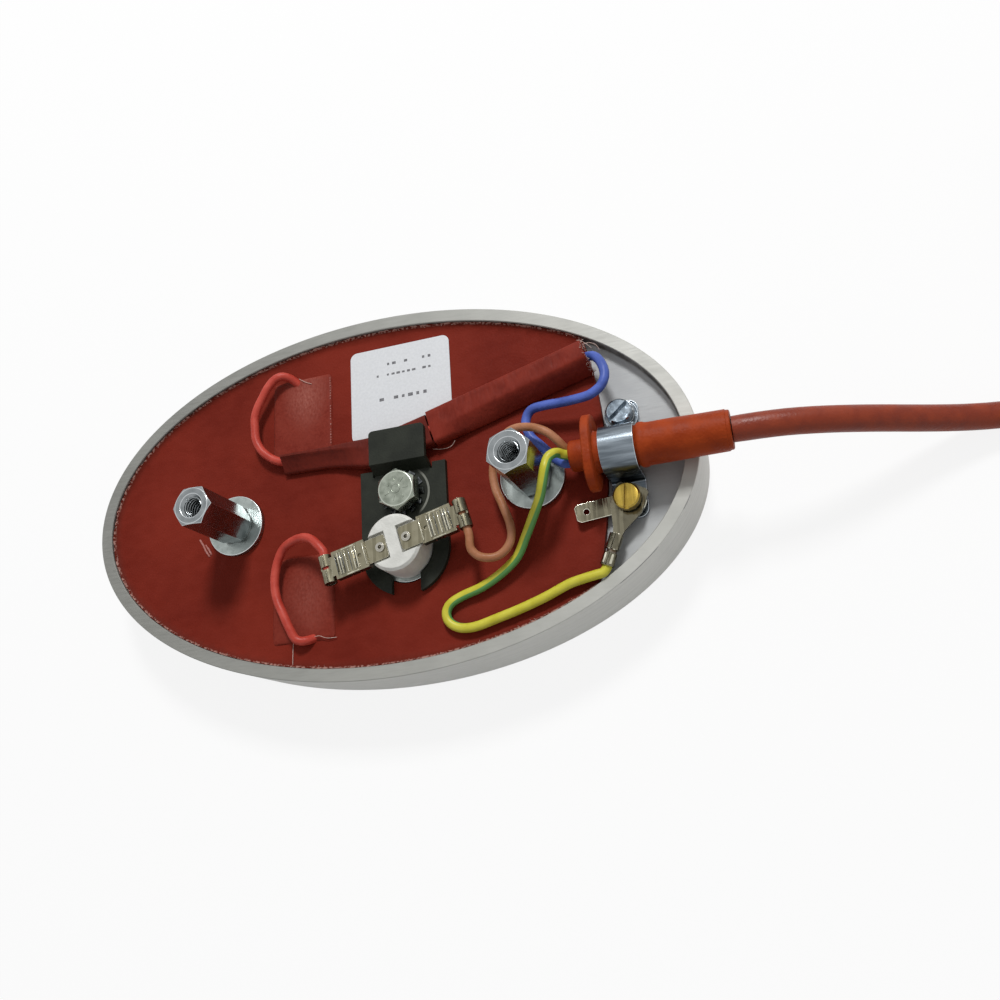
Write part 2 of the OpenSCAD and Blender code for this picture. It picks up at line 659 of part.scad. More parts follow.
module bracket_lock_washer() {
    color("gray") translate([bolt_at.x, bolt_at.y, clamp_top_z])
        toothed_washer(thread_d + 2 * seat_gap, 9.8, 12, bolt_washer_thickness, 14);
}

// Ceramic drum with a channel for each terminal, parted by a rib
module switch_body() {
    r = ceramic_d / 2;
    h = ceramic_height;
    color("whitesmoke") translate([switch_at.x, switch_at.y, deck_z]) rotate(terminal_turn) difference() {
        rotate_extrude() polygon([[0, 0], [r, 0], [r, h - 0.7], [r - 0.7, h], [0, h]]);
        for (side = [0, 180]) rotate(side) {
            translate([ceramic_rib / 2, -blade_width / 2 - 2 * soft_gap, h - recess_depth])
                cube([r, blade_width + 4 * soft_gap, recess_depth + past]);
            translate([rivet_at, 0, h - recess_depth - rivet_depth])
                cylinder(d = rivet_d + 2 * seat_gap, h = rivet_depth + past);
        }
    }
}

// Metal cup that carries the plate's heat to the switch
module switch_cap() {
    color("silver") translate([switch_at.x, switch_at.y, floor_z]) rotate_extrude() polygon([
        [0, 0], [cap_cup_d / 2 - 0.4, 0], [cap_cup_d / 2, 0.4], [cap_cup_d / 2, mat_thickness - cap_flange],
        [cap_d / 2, mat_thickness - cap_flange], [cap_d / 2, mat_thickness], [0, mat_thickness]
    ]);
}

// Blade along +X with its rivet hole
module switch_terminal(turn) {
    w = blade_width / 2;
    start = ceramic_rib / 2 + 0.2;
    tip = receptacle_start + receptacle_length - 0.6;
    color("darkkhaki") translate([switch_at.x, switch_at.y, blade_z]) rotate(turn) difference() {
        linear_extrude(blade_thickness) polygon([
            [start, 0.5 - w], [start + 0.5, -w], [tip - 1.2, -w], [tip, 1 - w],
            [tip, w - 1], [tip - 1.2, w], [start + 0.5, w], [start, w - 0.5]
        ]);
        translate([rivet_at, 0, -past]) cylinder(d = rivet_d + 2 * seat_gap, h = blade_thickness + 2 * past);
    }
}
module switch_terminal_left() { switch_terminal(terminal_turn + 180); }
module switch_terminal_right() { switch_terminal(terminal_turn); }

// Two hollow rivets
module terminal_rivets() {
    color("lightgrey") for (side = [0, 180])
        translate([switch_at.x, switch_at.y, blade_top_z]) rotate(terminal_turn + side)
            translate([rivet_at, 0, 0]) difference() {
                union() {
                    cylinder(d = rivet_head_d, h = rivet_head_height);
                    translate([0, 0, 0.5 - rivet_depth]) cylinder(d = rivet_d, h = rivet_depth);
                }
                translate([0, 0, -1]) cylinder(d = rivet_d * 0.6, h = 1 + past);
            }
}

// Cross-section of a push-on receptacle: flat back above the blade, edges rolled below it
module receptacle_section() {
    w = receptacle_width;
    curl_z = -blade_thickness - seat_gap - curl_r;
    translate([-w / 2, 0]) square([w, receptacle_sheet]);
    for (side = [-1, 1]) {
        translate([side * (w - receptacle_sheet) / 2 - receptacle_sheet / 2, curl_z])
            square([receptacle_sheet, -curl_z]);
        translate([side * (w / 2 - curl_r), curl_z]) circle(r = curl_r);
    }
}

// Receptacle along +X with a crimp barrel across its end
module receptacle(turn, wire_d) {
    end = receptacle_start + receptacle_length;
    bore = wire_d + 2 * thread_gap;
    color("darkkhaki") translate([switch_at.x, switch_at.y, blade_top_z]) rotate(turn) {
        difference() {
            translate([receptacle_start, 0, 0]) rotate([90, 0, 90])
                linear_extrude(receptacle_length) receptacle_section();
            for (x = [3.4, 5.8]) translate([receptacle_start + x, 0, -1.5])
                cube([0.5, receptacle_width + past, 1.9], center = true);
            translate([receptacle_start + 1.9, 0, -0.1]) cylinder(d = 1.2, h = receptacle_sheet + past);
            translate([end - 1.2, -2.1, -0.1]) cube([0.4, 4.2, receptacle_sheet + past]);
        }
        for (x = [0.5, 2.7, 3.6, 5.7, 7.1, 7.8]) translate([receptacle_start + x, 0, receptacle_sheet])
            cube([0.45, receptacle_width - 1.4, 0.4], center = true);
        difference() {
            translate([end - 0.2, -2.6, 0]) cube([barrel_at - end + 0.2, 5.2, receptacle_sheet]);
            translate([barrel_at, -barrel_length, -barrel_drop]) rotate([-90, 0, 0])
                cylinder(d = bore, h = 2 * barrel_length);
        }
        difference() {
            translate([barrel_at, -barrel_length / 2, -barrel_drop]) rotate([0, 0, 90]) crimp(barrel_length, bore);
            translate([barrel_at - 3, -0.6, bore / 4 - barrel_drop]) cube([6, 0.8, 3]);
        }
    }
}
module receptacle_left() { receptacle(terminal_turn + 180, lead_d); }
module receptacle_right() { receptacle(terminal_turn, conductor_d); }

// Hexagon pillar, threaded hole above and stud below
module standoff(at, turn) {
    corner = standoff_flats / sqrt(3);
    mouth_edge = 0.8;
    color("lightgrey") translate([at.x, at.y, post_base_z]) {
        difference() {
            intersection() {
                rotate(turn) cylinder(r = corner, h = standoff_height, $fn = 6);
                rotate_extrude() polygon([
                    [0, 0], [standoff_flats / 2 - 0.2, 0], [standoff_flats / 2 - 0.2, 0.5], [corner + past, 2.2],
                    [corner + past, standoff_height - 1.2], [standoff_flats / 2 - 0.2, standoff_height],
                    [0, standoff_height]
                ]);
            }
            translate([0, 0, standoff_height - standoff_bore_depth])
                cylinder(d = thread_core_d, h = standoff_bore_depth + past);
            translate([0, 0, standoff_height - mouth_edge]) rotate_extrude() polygon([
                [0, 0], [thread_core_d / 2, 0], [thread_core_d / 2 + mouth_edge + 0.1, mouth_edge + 0.1],
                [0, mouth_edge + 0.1]
            ]);
        }
        translate([0, 0, -stud_length]) cylinder(d = thread_d, h = stud_length + 0.1);
    }
}
module standoff_left() { standoff(post_left, post_left_turn); }
module standoff_right() { standoff(post_right, post_right_turn); }

module post_washer(at) {
    color("silver") translate([at.x, at.y, deck_z])
        flat_washer(post_washer_d, thread_d + 2 * hole_gap, post_washer_thickness);
}
module standoff_washer_left() { post_washer(post_left); }
module standoff_washer_right() { post_washer(post_right); }

// Saddle seen along the cable: crown, straight legs and ears on the pocket's floor
module strap_section() {
    outer = strap_r + strap_thickness;
    drop = gland_z - floor_z;
    difference() {
        union() {
            circle(r = outer);
            translate([-outer, -drop]) square([2 * outer, drop]);
            translate([-ear_reach, -drop]) square([2 * ear_reach, strap_thickness]);
            translate([-outer - strap_bend, -drop])
                square([2 * (outer + strap_bend), strap_thickness + strap_bend]);
        }
        for (side = [-1, 1])
            translate([side * (outer + strap_bend), strap_thickness + strap_bend - drop]) circle(r = strap_bend);
        circle(r = strap_r);
        translate([-strap_r, -drop - past]) square([2 * strap_r, drop + past]);
    }
}

module cable_strap() {
    color("lightsteelblue") difference() {
        intersection() {
            translate([strap_start, strap_at.y, gland_z]) rotate([90, 0, 90])
                linear_extrude(strap_width) strap_section();
            translate([strap_at.x, strap_at.y, 0])
                rounded_sheet(strap_width, 2 * ear_reach, 2.4, gland_z + flange_height);
        }
        for (p = [screw_upper, screw_lower]) translate([p.x, p.y, floor_z - past])
            cylinder(d = strap_thread_d + 2 * hole_gap, h = strap_thickness + 2 * past);
    }
}

module strap_flat_washer() {
    color("silver") translate([screw_upper.x, screw_upper.y, ear_top_z])
        flat_washer(strap_washer_d, strap_thread_d + 2 * hole_gap, flat_washer_thickness);
}

module strap_spring_washer() {
    color("lightgrey") translate([screw_upper.x, screw_upper.y, ear_top_z + flat_washer_thickness])
        spring_washer(strap_washer_d - 1.4, strap_thread_d + 2 * seat_gap, spring_washer_thickness);
}

module strap_screw() {
    head_z = ear_top_z + flat_washer_thickness + spring_washer_thickness;
    color("lightgrey") translate([screw_upper.x, screw_upper.y, head_z])
        slotted_screw(strap_thread_d, strap_screw_length, 40);
}

module earth_screw() {
    color("goldenrod") translate([screw_lower.x, screw_lower.y, earth_washer_z + earth_washer_thickness])
        slotted_screw(strap_thread_d, earth_screw_length, 84);
}

module earth_lock_washer() {
    color("gray") translate([screw_lower.x, screw_lower.y, earth_washer_z])
        toothed_washer(strap_thread_d + 2 * seat_gap, 5.6, 6.4, earth_washer_thickness, 12);
}

// Fills the height between the strap's ear and the mat's top
module earth_base_washer() {
    color("gray") translate([screw_lower.x, screw_lower.y, ear_top_z])
        toothed_washer(strap_thread_d + 2 * seat_gap, 6.6, 8.2, tab_base_z - ear_top_z, 12);
}

// Ring on the earth screw with a blade that rises clear of the mat
module earth_tab() {
    w = 2.4;
    fold = 5.2;
    tip = 13.5;
    rise = (tip - fold) * tan(earth_tab_rise);
    color("darkkhaki") translate([screw_lower.x, screw_lower.y, tab_base_z]) rotate(earth_tab_turn) difference() {
        union() {
            cylinder(d = 8.6, h = earth_sheet);
            intersection() {
                translate([0, w + past, 0]) rotate([90, 0, 0]) linear_extrude(2 * (w + past)) polygon([
                    [2, 0], [fold, 0], [tip + past, rise], [tip + past, rise + earth_sheet],
                    [fold - 0.1, earth_sheet], [2, earth_sheet]
                ]);
                translate([0, 0, -past]) linear_extrude(2 * past + rise + earth_sheet)
                    polygon([[0, -w], [tip - 0.9, -w], [tip, 0.7 - w], [tip, w - 0.7], [tip - 0.9, w], [0, w]]);
            }
        }
        translate([0, 0, -past]) cylinder(d = strap_thread_d + 2 * seat_gap, h = earth_sheet + 2 * past);
        translate([tip - 2.7, 0, -past]) cylinder(d = 1.4, h = rise + earth_sheet + 2 * past);
    }
}

// Square ring with a wedge-shaped neck, wire crimp and insulation crimp along +X
module earth_ring_terminal() {
    bore = conductor_d + 2 * thread_gap;
    lift = crimp_z - ring_z;
    under = -bore / 2 - crimp_wall;
    color("darkkhaki") translate([screw_lower.x, screw_lower.y, ring_z]) rotate(ring_turn) {
        difference() {
            linear_extrude(earth_sheet) polygon([
                [-3.6, -3.3], [-2.8, -4.1], [2.4, -4.1], [7.8, -1.5], [9.6, -1.1],
                [9.6, 1.1], [7.8, 1.5], [2.4, 4.1], [-2.8, 4.1], [-3.6, 3.3]
            ]);
            translate([0, 0, -past]) cylinder(d = strap_thread_d + 2 * seat_gap, h = earth_sheet + 2 * past);
            translate([9.4, 0, lift]) rotate([0, 90, 0]) cylinder(d = bore, h = 3);
        }
        translate([9.4, 0, lift]) crimp(3.8, bore);
        translate([14.2, 0, lift]) crimp(3.2, bore);
        translate([13, -0.7, lift + under]) cube([1.4, 1.4, crimp_wall]);
    }
}

// Moulded gland along +X: collar, oblong flange, waist under the strap, tapered end
module cable_gland() {
    bore = sheath_d / 2 + seat_gap;
    collar = 3.9;
    swell = waist_r + 0.4;
    tip = waist_r + 0.1;
    body = collar_length + flange_thickness;
    end = body + gland_body_length;
    waist = strap_start - mouth_x;
    color("orangered") translate(mouth) rotate([0, 90, 0]) difference() {
        union() {
            rotate_extrude() polygon([
                [0, 0], [collar - 0.4, 0], [collar, 0.4], [collar, body - 0.5], [swell - 0.2, body - 0.5],
                [swell - 0.2, waist - 0.8], [waist_r, waist - 0.2], [waist_r, waist + strap_width + 0.2],
                [swell, waist + strap_width + 1.2], [swell, waist + strap_width + 4], [tip, end - 0.5],
                [tip - 0.5, end], [0, end]
            ]);
            translate([0, 0, collar_length])
                rounded_sheet(flange_height, flange_length, flange_height / 2 - 0.01, flange_thickness);
        }
        translate([0, 0, -past]) cylinder(r = bore, h = end + 2 * past);
    }
}

module blue_conductor() { color("royalblue") wire(blue_route, conductor_d); }
module brown_conductor() { color("rosybrown") wire(brown_route, conductor_d); }
module earth_conductor() { color("yellowgreen") wire(earth_route, conductor_d); }

module supply_cable() { color("indianred") wire(cable_route, sheath_d, 12); }

// Outer shape of the wound cable: two layers, two turns wide
module cable_coil() {
    inner = coil_inner_r - sheath_d / 2;
    color("indianred") translate([coil_at.x, coil_at.y, 0]) rotate_extrude()
        translate([inner, 0.05]) square([coil_r + sheath_d / 2 - inner, 2 * layer]);
}

module cable_tail() { color("indianred") wire(tail_route, sheath_d, 12, 1); }

// Places a child where the tail's sheath ends, +X running on along it
module at_tail_end() {
    translate([tail_end.x, tail_end.y, 0]) rotate(tail_heading) children();
}
module tail_conductor_blue() { color("royalblue") at_tail_end() wire(tail_conductor_route(0), conductor_d); }
module tail_conductor_brown() { color("rosybrown") at_tail_end() wire(tail_conductor_route(1), conductor_d); }
module tail_conductor_earth() { color("yellowgreen") at_tail_end() wire(tail_conductor_route(2), conductor_d); }

// Crimped end sleeve on each conductor
module end_ferrules() {
    color("silver") at_tail_end() for (i = [0 : 2])
        translate(on_tail_conductor(i, tail_conductor_length + seat_gap))
            rotate(tail_conductor_length / tail_radii[i] * 180 / PI) rotate([0, 90, 0]) {
                cylinder(d = ferrule_collar_d, h = ferrule_collar_length);
                cylinder(d = ferrule_d, h = ferrule_collar_length + ferrule_length);
            }
}

heating_plate();
heating_mat();
lead_patch_upper();
lead_patch_lower();
rating_label();
red_lead_upper();
red_lead_lower();
narrow_sleeve();
wide_sleeve();
butt_splice();
clamp_bracket();
bracket_bolt();
bracket_lock_washer();
switch_body();
switch_cap();
switch_terminal_left();
switch_terminal_right();
terminal_rivets();
receptacle_left();
receptacle_right();
standoff_left();
standoff_right();
standoff_washer_left();
standoff_washer_right();
cable_strap();
strap_screw();
strap_spring_washer();
strap_flat_washer();
earth_screw();
earth_lock_washer();
earth_base_washer();
earth_tab();
earth_ring_terminal();
cable_gland();
blue_conductor();
brown_conductor();
earth_conductor();
supply_cable();
cable_coil();
cable_tail();
tail_conductor_blue();
tail_conductor_brown();
tail_conductor_earth();
end_ferrules();
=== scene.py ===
import math
import random

import bmesh
import bpy
from mathutils import Matrix, Vector, noise
from mathutils.geometry import delaunay_2d_cdt


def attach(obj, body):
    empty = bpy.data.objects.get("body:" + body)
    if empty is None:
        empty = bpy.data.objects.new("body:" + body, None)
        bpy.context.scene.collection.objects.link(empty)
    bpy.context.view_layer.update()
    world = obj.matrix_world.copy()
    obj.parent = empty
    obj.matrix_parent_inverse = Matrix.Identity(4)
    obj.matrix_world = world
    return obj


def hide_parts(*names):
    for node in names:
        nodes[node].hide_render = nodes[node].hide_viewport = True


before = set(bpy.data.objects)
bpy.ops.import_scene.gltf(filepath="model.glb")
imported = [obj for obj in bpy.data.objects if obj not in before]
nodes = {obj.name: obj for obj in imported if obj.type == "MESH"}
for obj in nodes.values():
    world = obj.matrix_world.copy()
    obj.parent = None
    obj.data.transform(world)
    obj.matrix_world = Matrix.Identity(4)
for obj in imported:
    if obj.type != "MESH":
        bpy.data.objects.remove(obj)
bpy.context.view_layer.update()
scene = bpy.context.scene
mm = 0.001  # the script's sizes are in millimetres, Blender's in metres


# Camera: where the photograph was taken from, with its right, down and forward directions
cameraView = {
    "place": (107.39, -87.45, 253.90),
    "right": (0.9429, -0.0575, -0.3281),
    "ahead": (-0.2967, 0.3026, -0.9058),
    "lens": 36.5,
    "shift": (0.01827, 0.00517),
}


def makeCamera(view):
    data = bpy.data.cameras.new("photoCamera")
    data.lens = view["lens"]
    data.sensor_width = 36
    data.shift_x, data.shift_y = view["shift"]
    data.clip_start, data.clip_end = 0.01, 20
    back = -Vector(view["ahead"]).normalized()
    right = Vector(view["right"])
    right = (right - back * right.dot(back)).normalized()
    turn = Matrix((right, back.cross(right), back)).transposed().to_4x4()
    camera = bpy.data.objects.new("photoCamera", data)
    camera.matrix_world = Matrix.Translation(Vector(view["place"]) * mm) @ turn
    scene.collection.objects.link(camera)
    scene.camera = camera


makeCamera(cameraView)
print("camera made")


# Materials
def toLinear(hexColour):
    parts = [int(hexColour[i:i + 2], 16) / 255 for i in (1, 3, 5)]
    return [c / 12.92 if c <= 0.04045 else ((c + 0.055) / 1.055) ** 2.4 for c in parts] + [1.0]


def addNode(tree, kind, values=None, links=None, **settings):
    node = tree.nodes.new(kind)
    for name, value in settings.items():
        setattr(node, name, value)
    for name, value in (values or {}).items():
        node.inputs[name].default_value = value
    for name, source in (links or {}).items():
        tree.links.new(source, node.inputs[name])
    return node


def newMaterial(name, values):
    material = bpy.data.materials.new(name)
    material.use_nodes = True
    tree = material.node_tree
    tree.nodes.clear()
    shader = addNode(tree, "ShaderNodeBsdfPrincipled", values)
    addNode(tree, "ShaderNodeOutputMaterial", links={"Surface": shader.outputs[0]})
    place = addNode(tree, "ShaderNodeTexCoord").outputs["Object"]
    return material, tree, shader, place


# Soft noise of a size in millimetres, spread over 0 to 1 between two levels
def speckle(tree, place, size, low=0.35, high=0.65, stretch=(1, 1, 1), turn=0.0, detail=3.0):
    spot = addNode(tree, "ShaderNodeMapping", {"Scale": stretch, "Rotation": (0, 0, turn)}, {"Vector": place})
    cloud = addNode(tree, "ShaderNodeTexNoise", {"Scale": 1 / (size * mm), "Detail": detail},
                    {"Vector": spot.outputs[0]})
    return addNode(tree, "ShaderNodeMapRange", {"From Min": low, "From Max": high},
                   {"Value": cloud.outputs["Fac"]}).outputs[0]


# Colour between two hex colours, or from another colour towards a hex colour
def between(tree, amount, first, second, most=1.0):
    node = addNode(tree, "ShaderNodeMix", {7: toLinear(second)}, data_type="RGBA")
    if most < 1:
        amount = addNode(tree, "ShaderNodeMath", {1: most}, {0: amount}, operation="MULTIPLY").outputs[0]
    tree.links.new(amount, node.inputs[0])
    if isinstance(first, str):
        node.inputs[6].default_value = toLinear(first)
    else:
        tree.links.new(first, node.inputs[6])
    return node.outputs[2]


def setColour(tree, shader, colour):
    tree.links.new(colour, shader.inputs["Base Color"])


def setRoughness(tree, shader, amount, smooth, rough):
    spread = addNode(tree, "ShaderNodeMapRange", {"To Min": smooth, "To Max": rough}, {"Value": amount})
    tree.links.new(spread.outputs[0], shader.inputs["Roughness"])


# Adds relief of a depth in millimetres on top of what the shader's normal already has
def addRelief(tree, shader, height, depth):
    bump = addNode(tree, "ShaderNodeBump", {"Distance": depth * mm}, {"Height": height})
    if shader.inputs["Normal"].is_linked:
        tree.links.new(shader.inputs["Normal"].links[0].from_socket, bump.inputs["Normal"])
    tree.links.new(bump.outputs[0], shader.inputs["Normal"])


# Height above the bench in metres, spread over 0 to 1 between two heights in millimetres
def heightBand(tree, place, low, high):
    split = addNode(tree, "ShaderNodeSeparateXYZ", links={0: place})
    return addNode(tree, "ShaderNodeMapRange", {"From Min": low * mm, "From Max": high * mm},
                   {"Value": split.outputs["Z"]}).outputs[0]


# Distance from the plate's middle, where one is its outer wall
def ovalShare(tree, place):
    share = addNode(tree, "ShaderNodeMapping", {"Scale": (1 / 0.0868, 1 / 0.0504, 0)}, {"Vector": place})
    return addNode(tree, "ShaderNodeVectorMath", links={0: share.outputs[0]}, operation="LENGTH").outputs["Value"]


def multiplied(tree, first, second):
    return addNode(tree, "ShaderNodeMath", links={0: first, 1: second}, operation="MULTIPLY").outputs[0]


def castAluminium():  # milled plate: dull grey, streaked round its wall, with painted sheen that runs lighter to the right, painted bounce light on its outer wall and painted shade on its pocket's inner wall
    material, tree, shader, place = newMaterial("castAluminium", {"Metallic": 0.2, "Roughness": 0.55})
    streaks = speckle(tree, place, 0.9, 0.35, 0.7, (0.04, 0.04, 1))
    sanding = speckle(tree, place, 0.5, 0.3, 0.75, (0.12, 1, 1), 0.6)
    patches = speckle(tree, place, 9)
    # Painted sheen: the grey runs from dark on the left to light on the right
    along = addNode(tree, "ShaderNodeVectorMath", {1: (0.95, -0.25, 0)}, {0: place}, operation="DOT_PRODUCT")
    share = addNode(tree, "ShaderNodeMapRange", {"From Min": -0.085, "From Max": 0.085},
                    {"Value": along.outputs["Value"]}).outputs[0]
    paintedSheen = addNode(tree, "ShaderNodeMath", {1: 1.4}, {0: share}, operation="POWER").outputs[0]
    colour = between(tree, streaks, between(tree, paintedSheen, "#73736e", "#c2c2bc"), "#94958f", 0.3)
    colour = between(tree, sanding, colour, "#c2c2bd", 0.2)
    colour = between(tree, patches, colour, "#868782", 0.25)
    share = ovalShare(tree, place)
    inside = addNode(tree, "ShaderNodeMath", {1: 0.975}, {0: share}, operation="LESS_THAN").outputs[0]
    outside = addNode(tree, "ShaderNodeMath", {1: 0.9985}, {0: share}, operation="GREATER_THAN").outputs[0]
    # Painted bounce light: the outer wall is lighter than the rim top, graded by the same painted sheen
    paintedWallLight = between(tree, paintedSheen, "#a3a39e", "#dcdcd6")
    node = addNode(tree, "ShaderNodeMix", links={0: outside, 6: colour, 7: paintedWallLight}, data_type="RGBA")
    colour = between(tree, streaks, node.outputs[2], "#8c8d88", 0.18)
    # Painted shade on the pocket's inner wall, broken into blotches
    wall = multiplied(tree, inside, heightBand(tree, place, 18.9, 18.5))
    shadeBlotches = speckle(tree, place, 4, 0.3, 0.62, (1, 1, 0.4))
    colour = between(tree, multiplied(tree, wall, shadeBlotches), colour, "#4e4c49", 0.85)
    floorTone = between(tree, patches, "#a2a4a5", "#abadad")
    bare = multiplied(tree, inside, heightBand(tree, place, 15.9, 15.75))
    node = addNode(tree, "ShaderNodeMix", links={0: bare, 6: colour, 7: floorTone}, data_type="RGBA")
    colour = node.outputs[2]
    setColour(tree, shader, colour)
    setRoughness(tree, shader, sanding, 0.42, 0.6)
    addRelief(tree, shader, streaks, 0.02)
    addRelief(tree, shader, sanding, 0.012)
    return material


def siliconeMat():  # silicone sheet pressed smooth, with a faint grain, a frayed edge, and painted shade along that edge under the rim
    material, tree, shader, place = newMaterial("siliconeMat", {"Roughness": 0.6, "Specular IOR Level": 0.07})
    fine = speckle(tree, place, 0.5)
    grain = speckle(tree, place, 2.6, 0.35, 0.65, (0.6, 1, 1))
    cloud = speckle(tree, place, 24)
    colour = between(tree, cloud, "#6a1f14", "#7b281b")
    colour = between(tree, grain, colour, "#853125", 0.22)
    rim = addNode(tree, "ShaderNodeAttribute", attribute_name="edge").outputs["Fac"]
    # Painted shade: the mat darkens towards its edge where the rim overhangs it
    colour = between(tree, rim, colour, "#4f1c12", 0.7)
    dots = speckle(tree, place, 0.7, 0.47, 0.55)
    outermost = addNode(tree, "ShaderNodeMapRange", {"From Min": 0.72, "From Max": 0.95}, {"Value": rim}).outputs[0]
    colour = between(tree, multiplied(tree, outermost, dots), colour, "#c39a8e", 0.75)
    setColour(tree, shader, colour)
    setRoughness(tree, shader, fine, 0.55, 0.7)
    addRelief(tree, shader, fine, 0.03)
    addRelief(tree, shader, grain, 0.035)
    return material


def siliconePatch(name, hazeAt):  # the same silicone with a pale haze where the joint was pressed
    material, tree, shader, place = newMaterial(name, {"Roughness": 0.58, "Specular IOR Level": 0.1})
    grain = speckle(tree, place, 0.8)
    cloud = speckle(tree, place, 6)
    colour = between(tree, grain, "#712419", "#7e2f23")
    colour = between(tree, cloud, colour, "#84362a", 0.5)
    fromHaze = addNode(tree, "ShaderNodeMapping", {"Location": (-hazeAt[0] * mm, -hazeAt[1] * mm, 0)},
                       {"Vector": place})
    flat = addNode(tree, "ShaderNodeVectorMath", {1: (1, 0.7, 0)}, {0: fromHaze.outputs[0]}, operation="MULTIPLY")
    radius = addNode(tree, "ShaderNodeVectorMath", links={0: flat.outputs[0]}, operation="LENGTH").outputs["Value"]
    near = addNode(tree, "ShaderNodeMapRange", {"From Min": 8 * mm, "From Max": 1 * mm}, {"Value": radius})
    haze = multiplied(tree, near.outputs[0], speckle(tree, place, 0.45, 0.15, 0.75, (1, 0.5, 1), 0.6))
    setColour(tree, shader, between(tree, haze, colour, "#ab685c", hazeAt[2]))
    setRoughness(tree, shader, grain, 0.5, 0.65)
    addRelief(tree, shader, grain, 0.03)
    return material


# Silicone coated glass braid: satin, with the braid showing through
def coatedSleeve(name, dull, bright, thread):
    material, tree, shader, place = newMaterial(name, {"Roughness": 0.5, "Specular IOR Level": 0.12})
    braid = speckle(tree, place, 0.9, 0.3, 0.7, (1, 0.4, 1), 0.25)
    cloud = speckle(tree, place, 6)
    colour = between(tree, cloud, dull, bright)
    setColour(tree, shader, between(tree, braid, colour, thread, 0.4))
    setRoughness(tree, shader, braid, 0.44, 0.58)
    addRelief(tree, shader, braid, 0.05)
    return material


# Extruded or moulded silicone, slightly greasy
def smoothSilicone(name, dull, bright, rough, wrinkle=0.03, shine=0.22):
    material, tree, shader, place = newMaterial(name, {"Roughness": rough, "Specular IOR Level": shine})
    cloud = speckle(tree, place, 4)
    fine = speckle(tree, place, 0.6)
    setColour(tree, shader, between(tree, cloud, dull, bright))
    setRoughness(tree, shader, cloud, rough - 0.06, rough + 0.08)
    addRelief(tree, shader, fine, wrinkle)
    return material


def earthSilicone():  # yellow silicone with one green stripe that follows the wire
    material, tree, shader, place = newMaterial("earthSilicone", {"Roughness": 0.38, "Specular IOR Level": 0.3})
    wrap = addNode(tree, "ShaderNodeUVMap", uv_map="wrap")
    split = addNode(tree, "ShaderNodeSeparateXYZ", links={0: wrap.outputs[0]})
    centred = addNode(tree, "ShaderNodeMath", {1: 0.5}, {0: split.outputs["X"]}, operation="SUBTRACT").outputs[0]
    away = addNode(tree, "ShaderNodeMath", links={0: centred}, operation="ABSOLUTE").outputs[0]
    stripe = addNode(tree, "ShaderNodeMapRange", {"From Min": 0.17, "From Max": 0.155}, {"Value": away}).outputs[0]
    cloud = speckle(tree, place, 3)
    yellow = between(tree, cloud, "#c4bd34", "#d2cb46")
    setColour(tree, shader, between(tree, stripe, yellow, "#5f9c55"))
    addRelief(tree, shader, cloud, 0.02)
    return material


# Bright zinc on steel: grey, lightly blotched mirror, with painted highlight on its bevelled edges
def zincPlated(name, tone, shade, rough, blotch=0.02, edge="#dfe3e4", stretch=(1, 1, 1)):
    material, tree, shader, place = newMaterial(name, {"Metallic": 1.0, "Roughness": rough})
    cloud = speckle(tree, place, 2.2, 0.3, 0.7, stretch)
    fine = speckle(tree, place, 0.35)
    colour = between(tree, cloud, shade, tone)
    bevelHighlight = addNode(tree, "ShaderNodeAttribute", attribute_name="edge").outputs["Fac"]
    setColour(tree, shader, between(tree, bevelHighlight, colour, edge, 0.85))
    setRoughness(tree, shader, cloud, rough + 0.08, rough)
    addRelief(tree, shader, fine, 0.004)
    addRelief(tree, shader, cloud, blotch)
    return material


def blackenedSteel():  # thin black finish on sheet steel, rubbed bright where the washer turned
    material, tree, shader, place = newMaterial("blackenedSteel", {"Metallic": 0.0, "Roughness": 0.5, "Specular IOR Level": 0.16})
    cloud = speckle(tree, place, 5)
    fine = speckle(tree, place, 0.5)
    colour = between(tree, cloud, "#1b1e18", "#272a23")
    fromBolt = addNode(tree, "ShaderNodeMapping", {"Location": (-8.9 * mm, 2.4 * mm, 0)}, {"Vector": place})
    split = addNode(tree, "ShaderNodeSeparateXYZ", links={0: fromBolt.outputs[0]})
    flat = addNode(tree, "ShaderNodeCombineXYZ", links={0: split.outputs["X"], 1: split.outputs["Y"]})
    radius = addNode(tree, "ShaderNodeVectorMath", links={0: flat.outputs[0]}, operation="LENGTH").outputs["Value"]
    ring = addNode(tree, "ShaderNodeMath", {1: 7.3 * mm, 2: 0.28 * mm}, {0: radius}, operation="COMPARE").outputs[0]
    eastern = addNode(tree, "ShaderNodeMapRange", {"From Min": 4.2 * mm, "From Max": 6 * mm},
                      {"Value": split.outputs["X"]}).outputs[0]
    worn = addNode(tree, "ShaderNodeMath", links={0: ring, 1: eastern}, operation="MULTIPLY").outputs[0]
    setColour(tree, shader, between(tree, worn, colour, "#8f9087", 0.75))
    setRoughness(tree, shader, fine, 0.42, 0.56)
    addRelief(tree, shader, fine, 0.015)
    return material


def glazedCeramic():  # fired steatite: white, dense, faintly speckled
    material, tree, shader, place = newMaterial("glazedCeramic", {"Roughness": 0.42})
    cloud = speckle(tree, place, 3)
    fine = speckle(tree, place, 0.5)
    setColour(tree, shader, between(tree, cloud, "#d2d2cc", "#e0e0da"))
    addRelief(tree, shader, fine, 0.03)
    return material


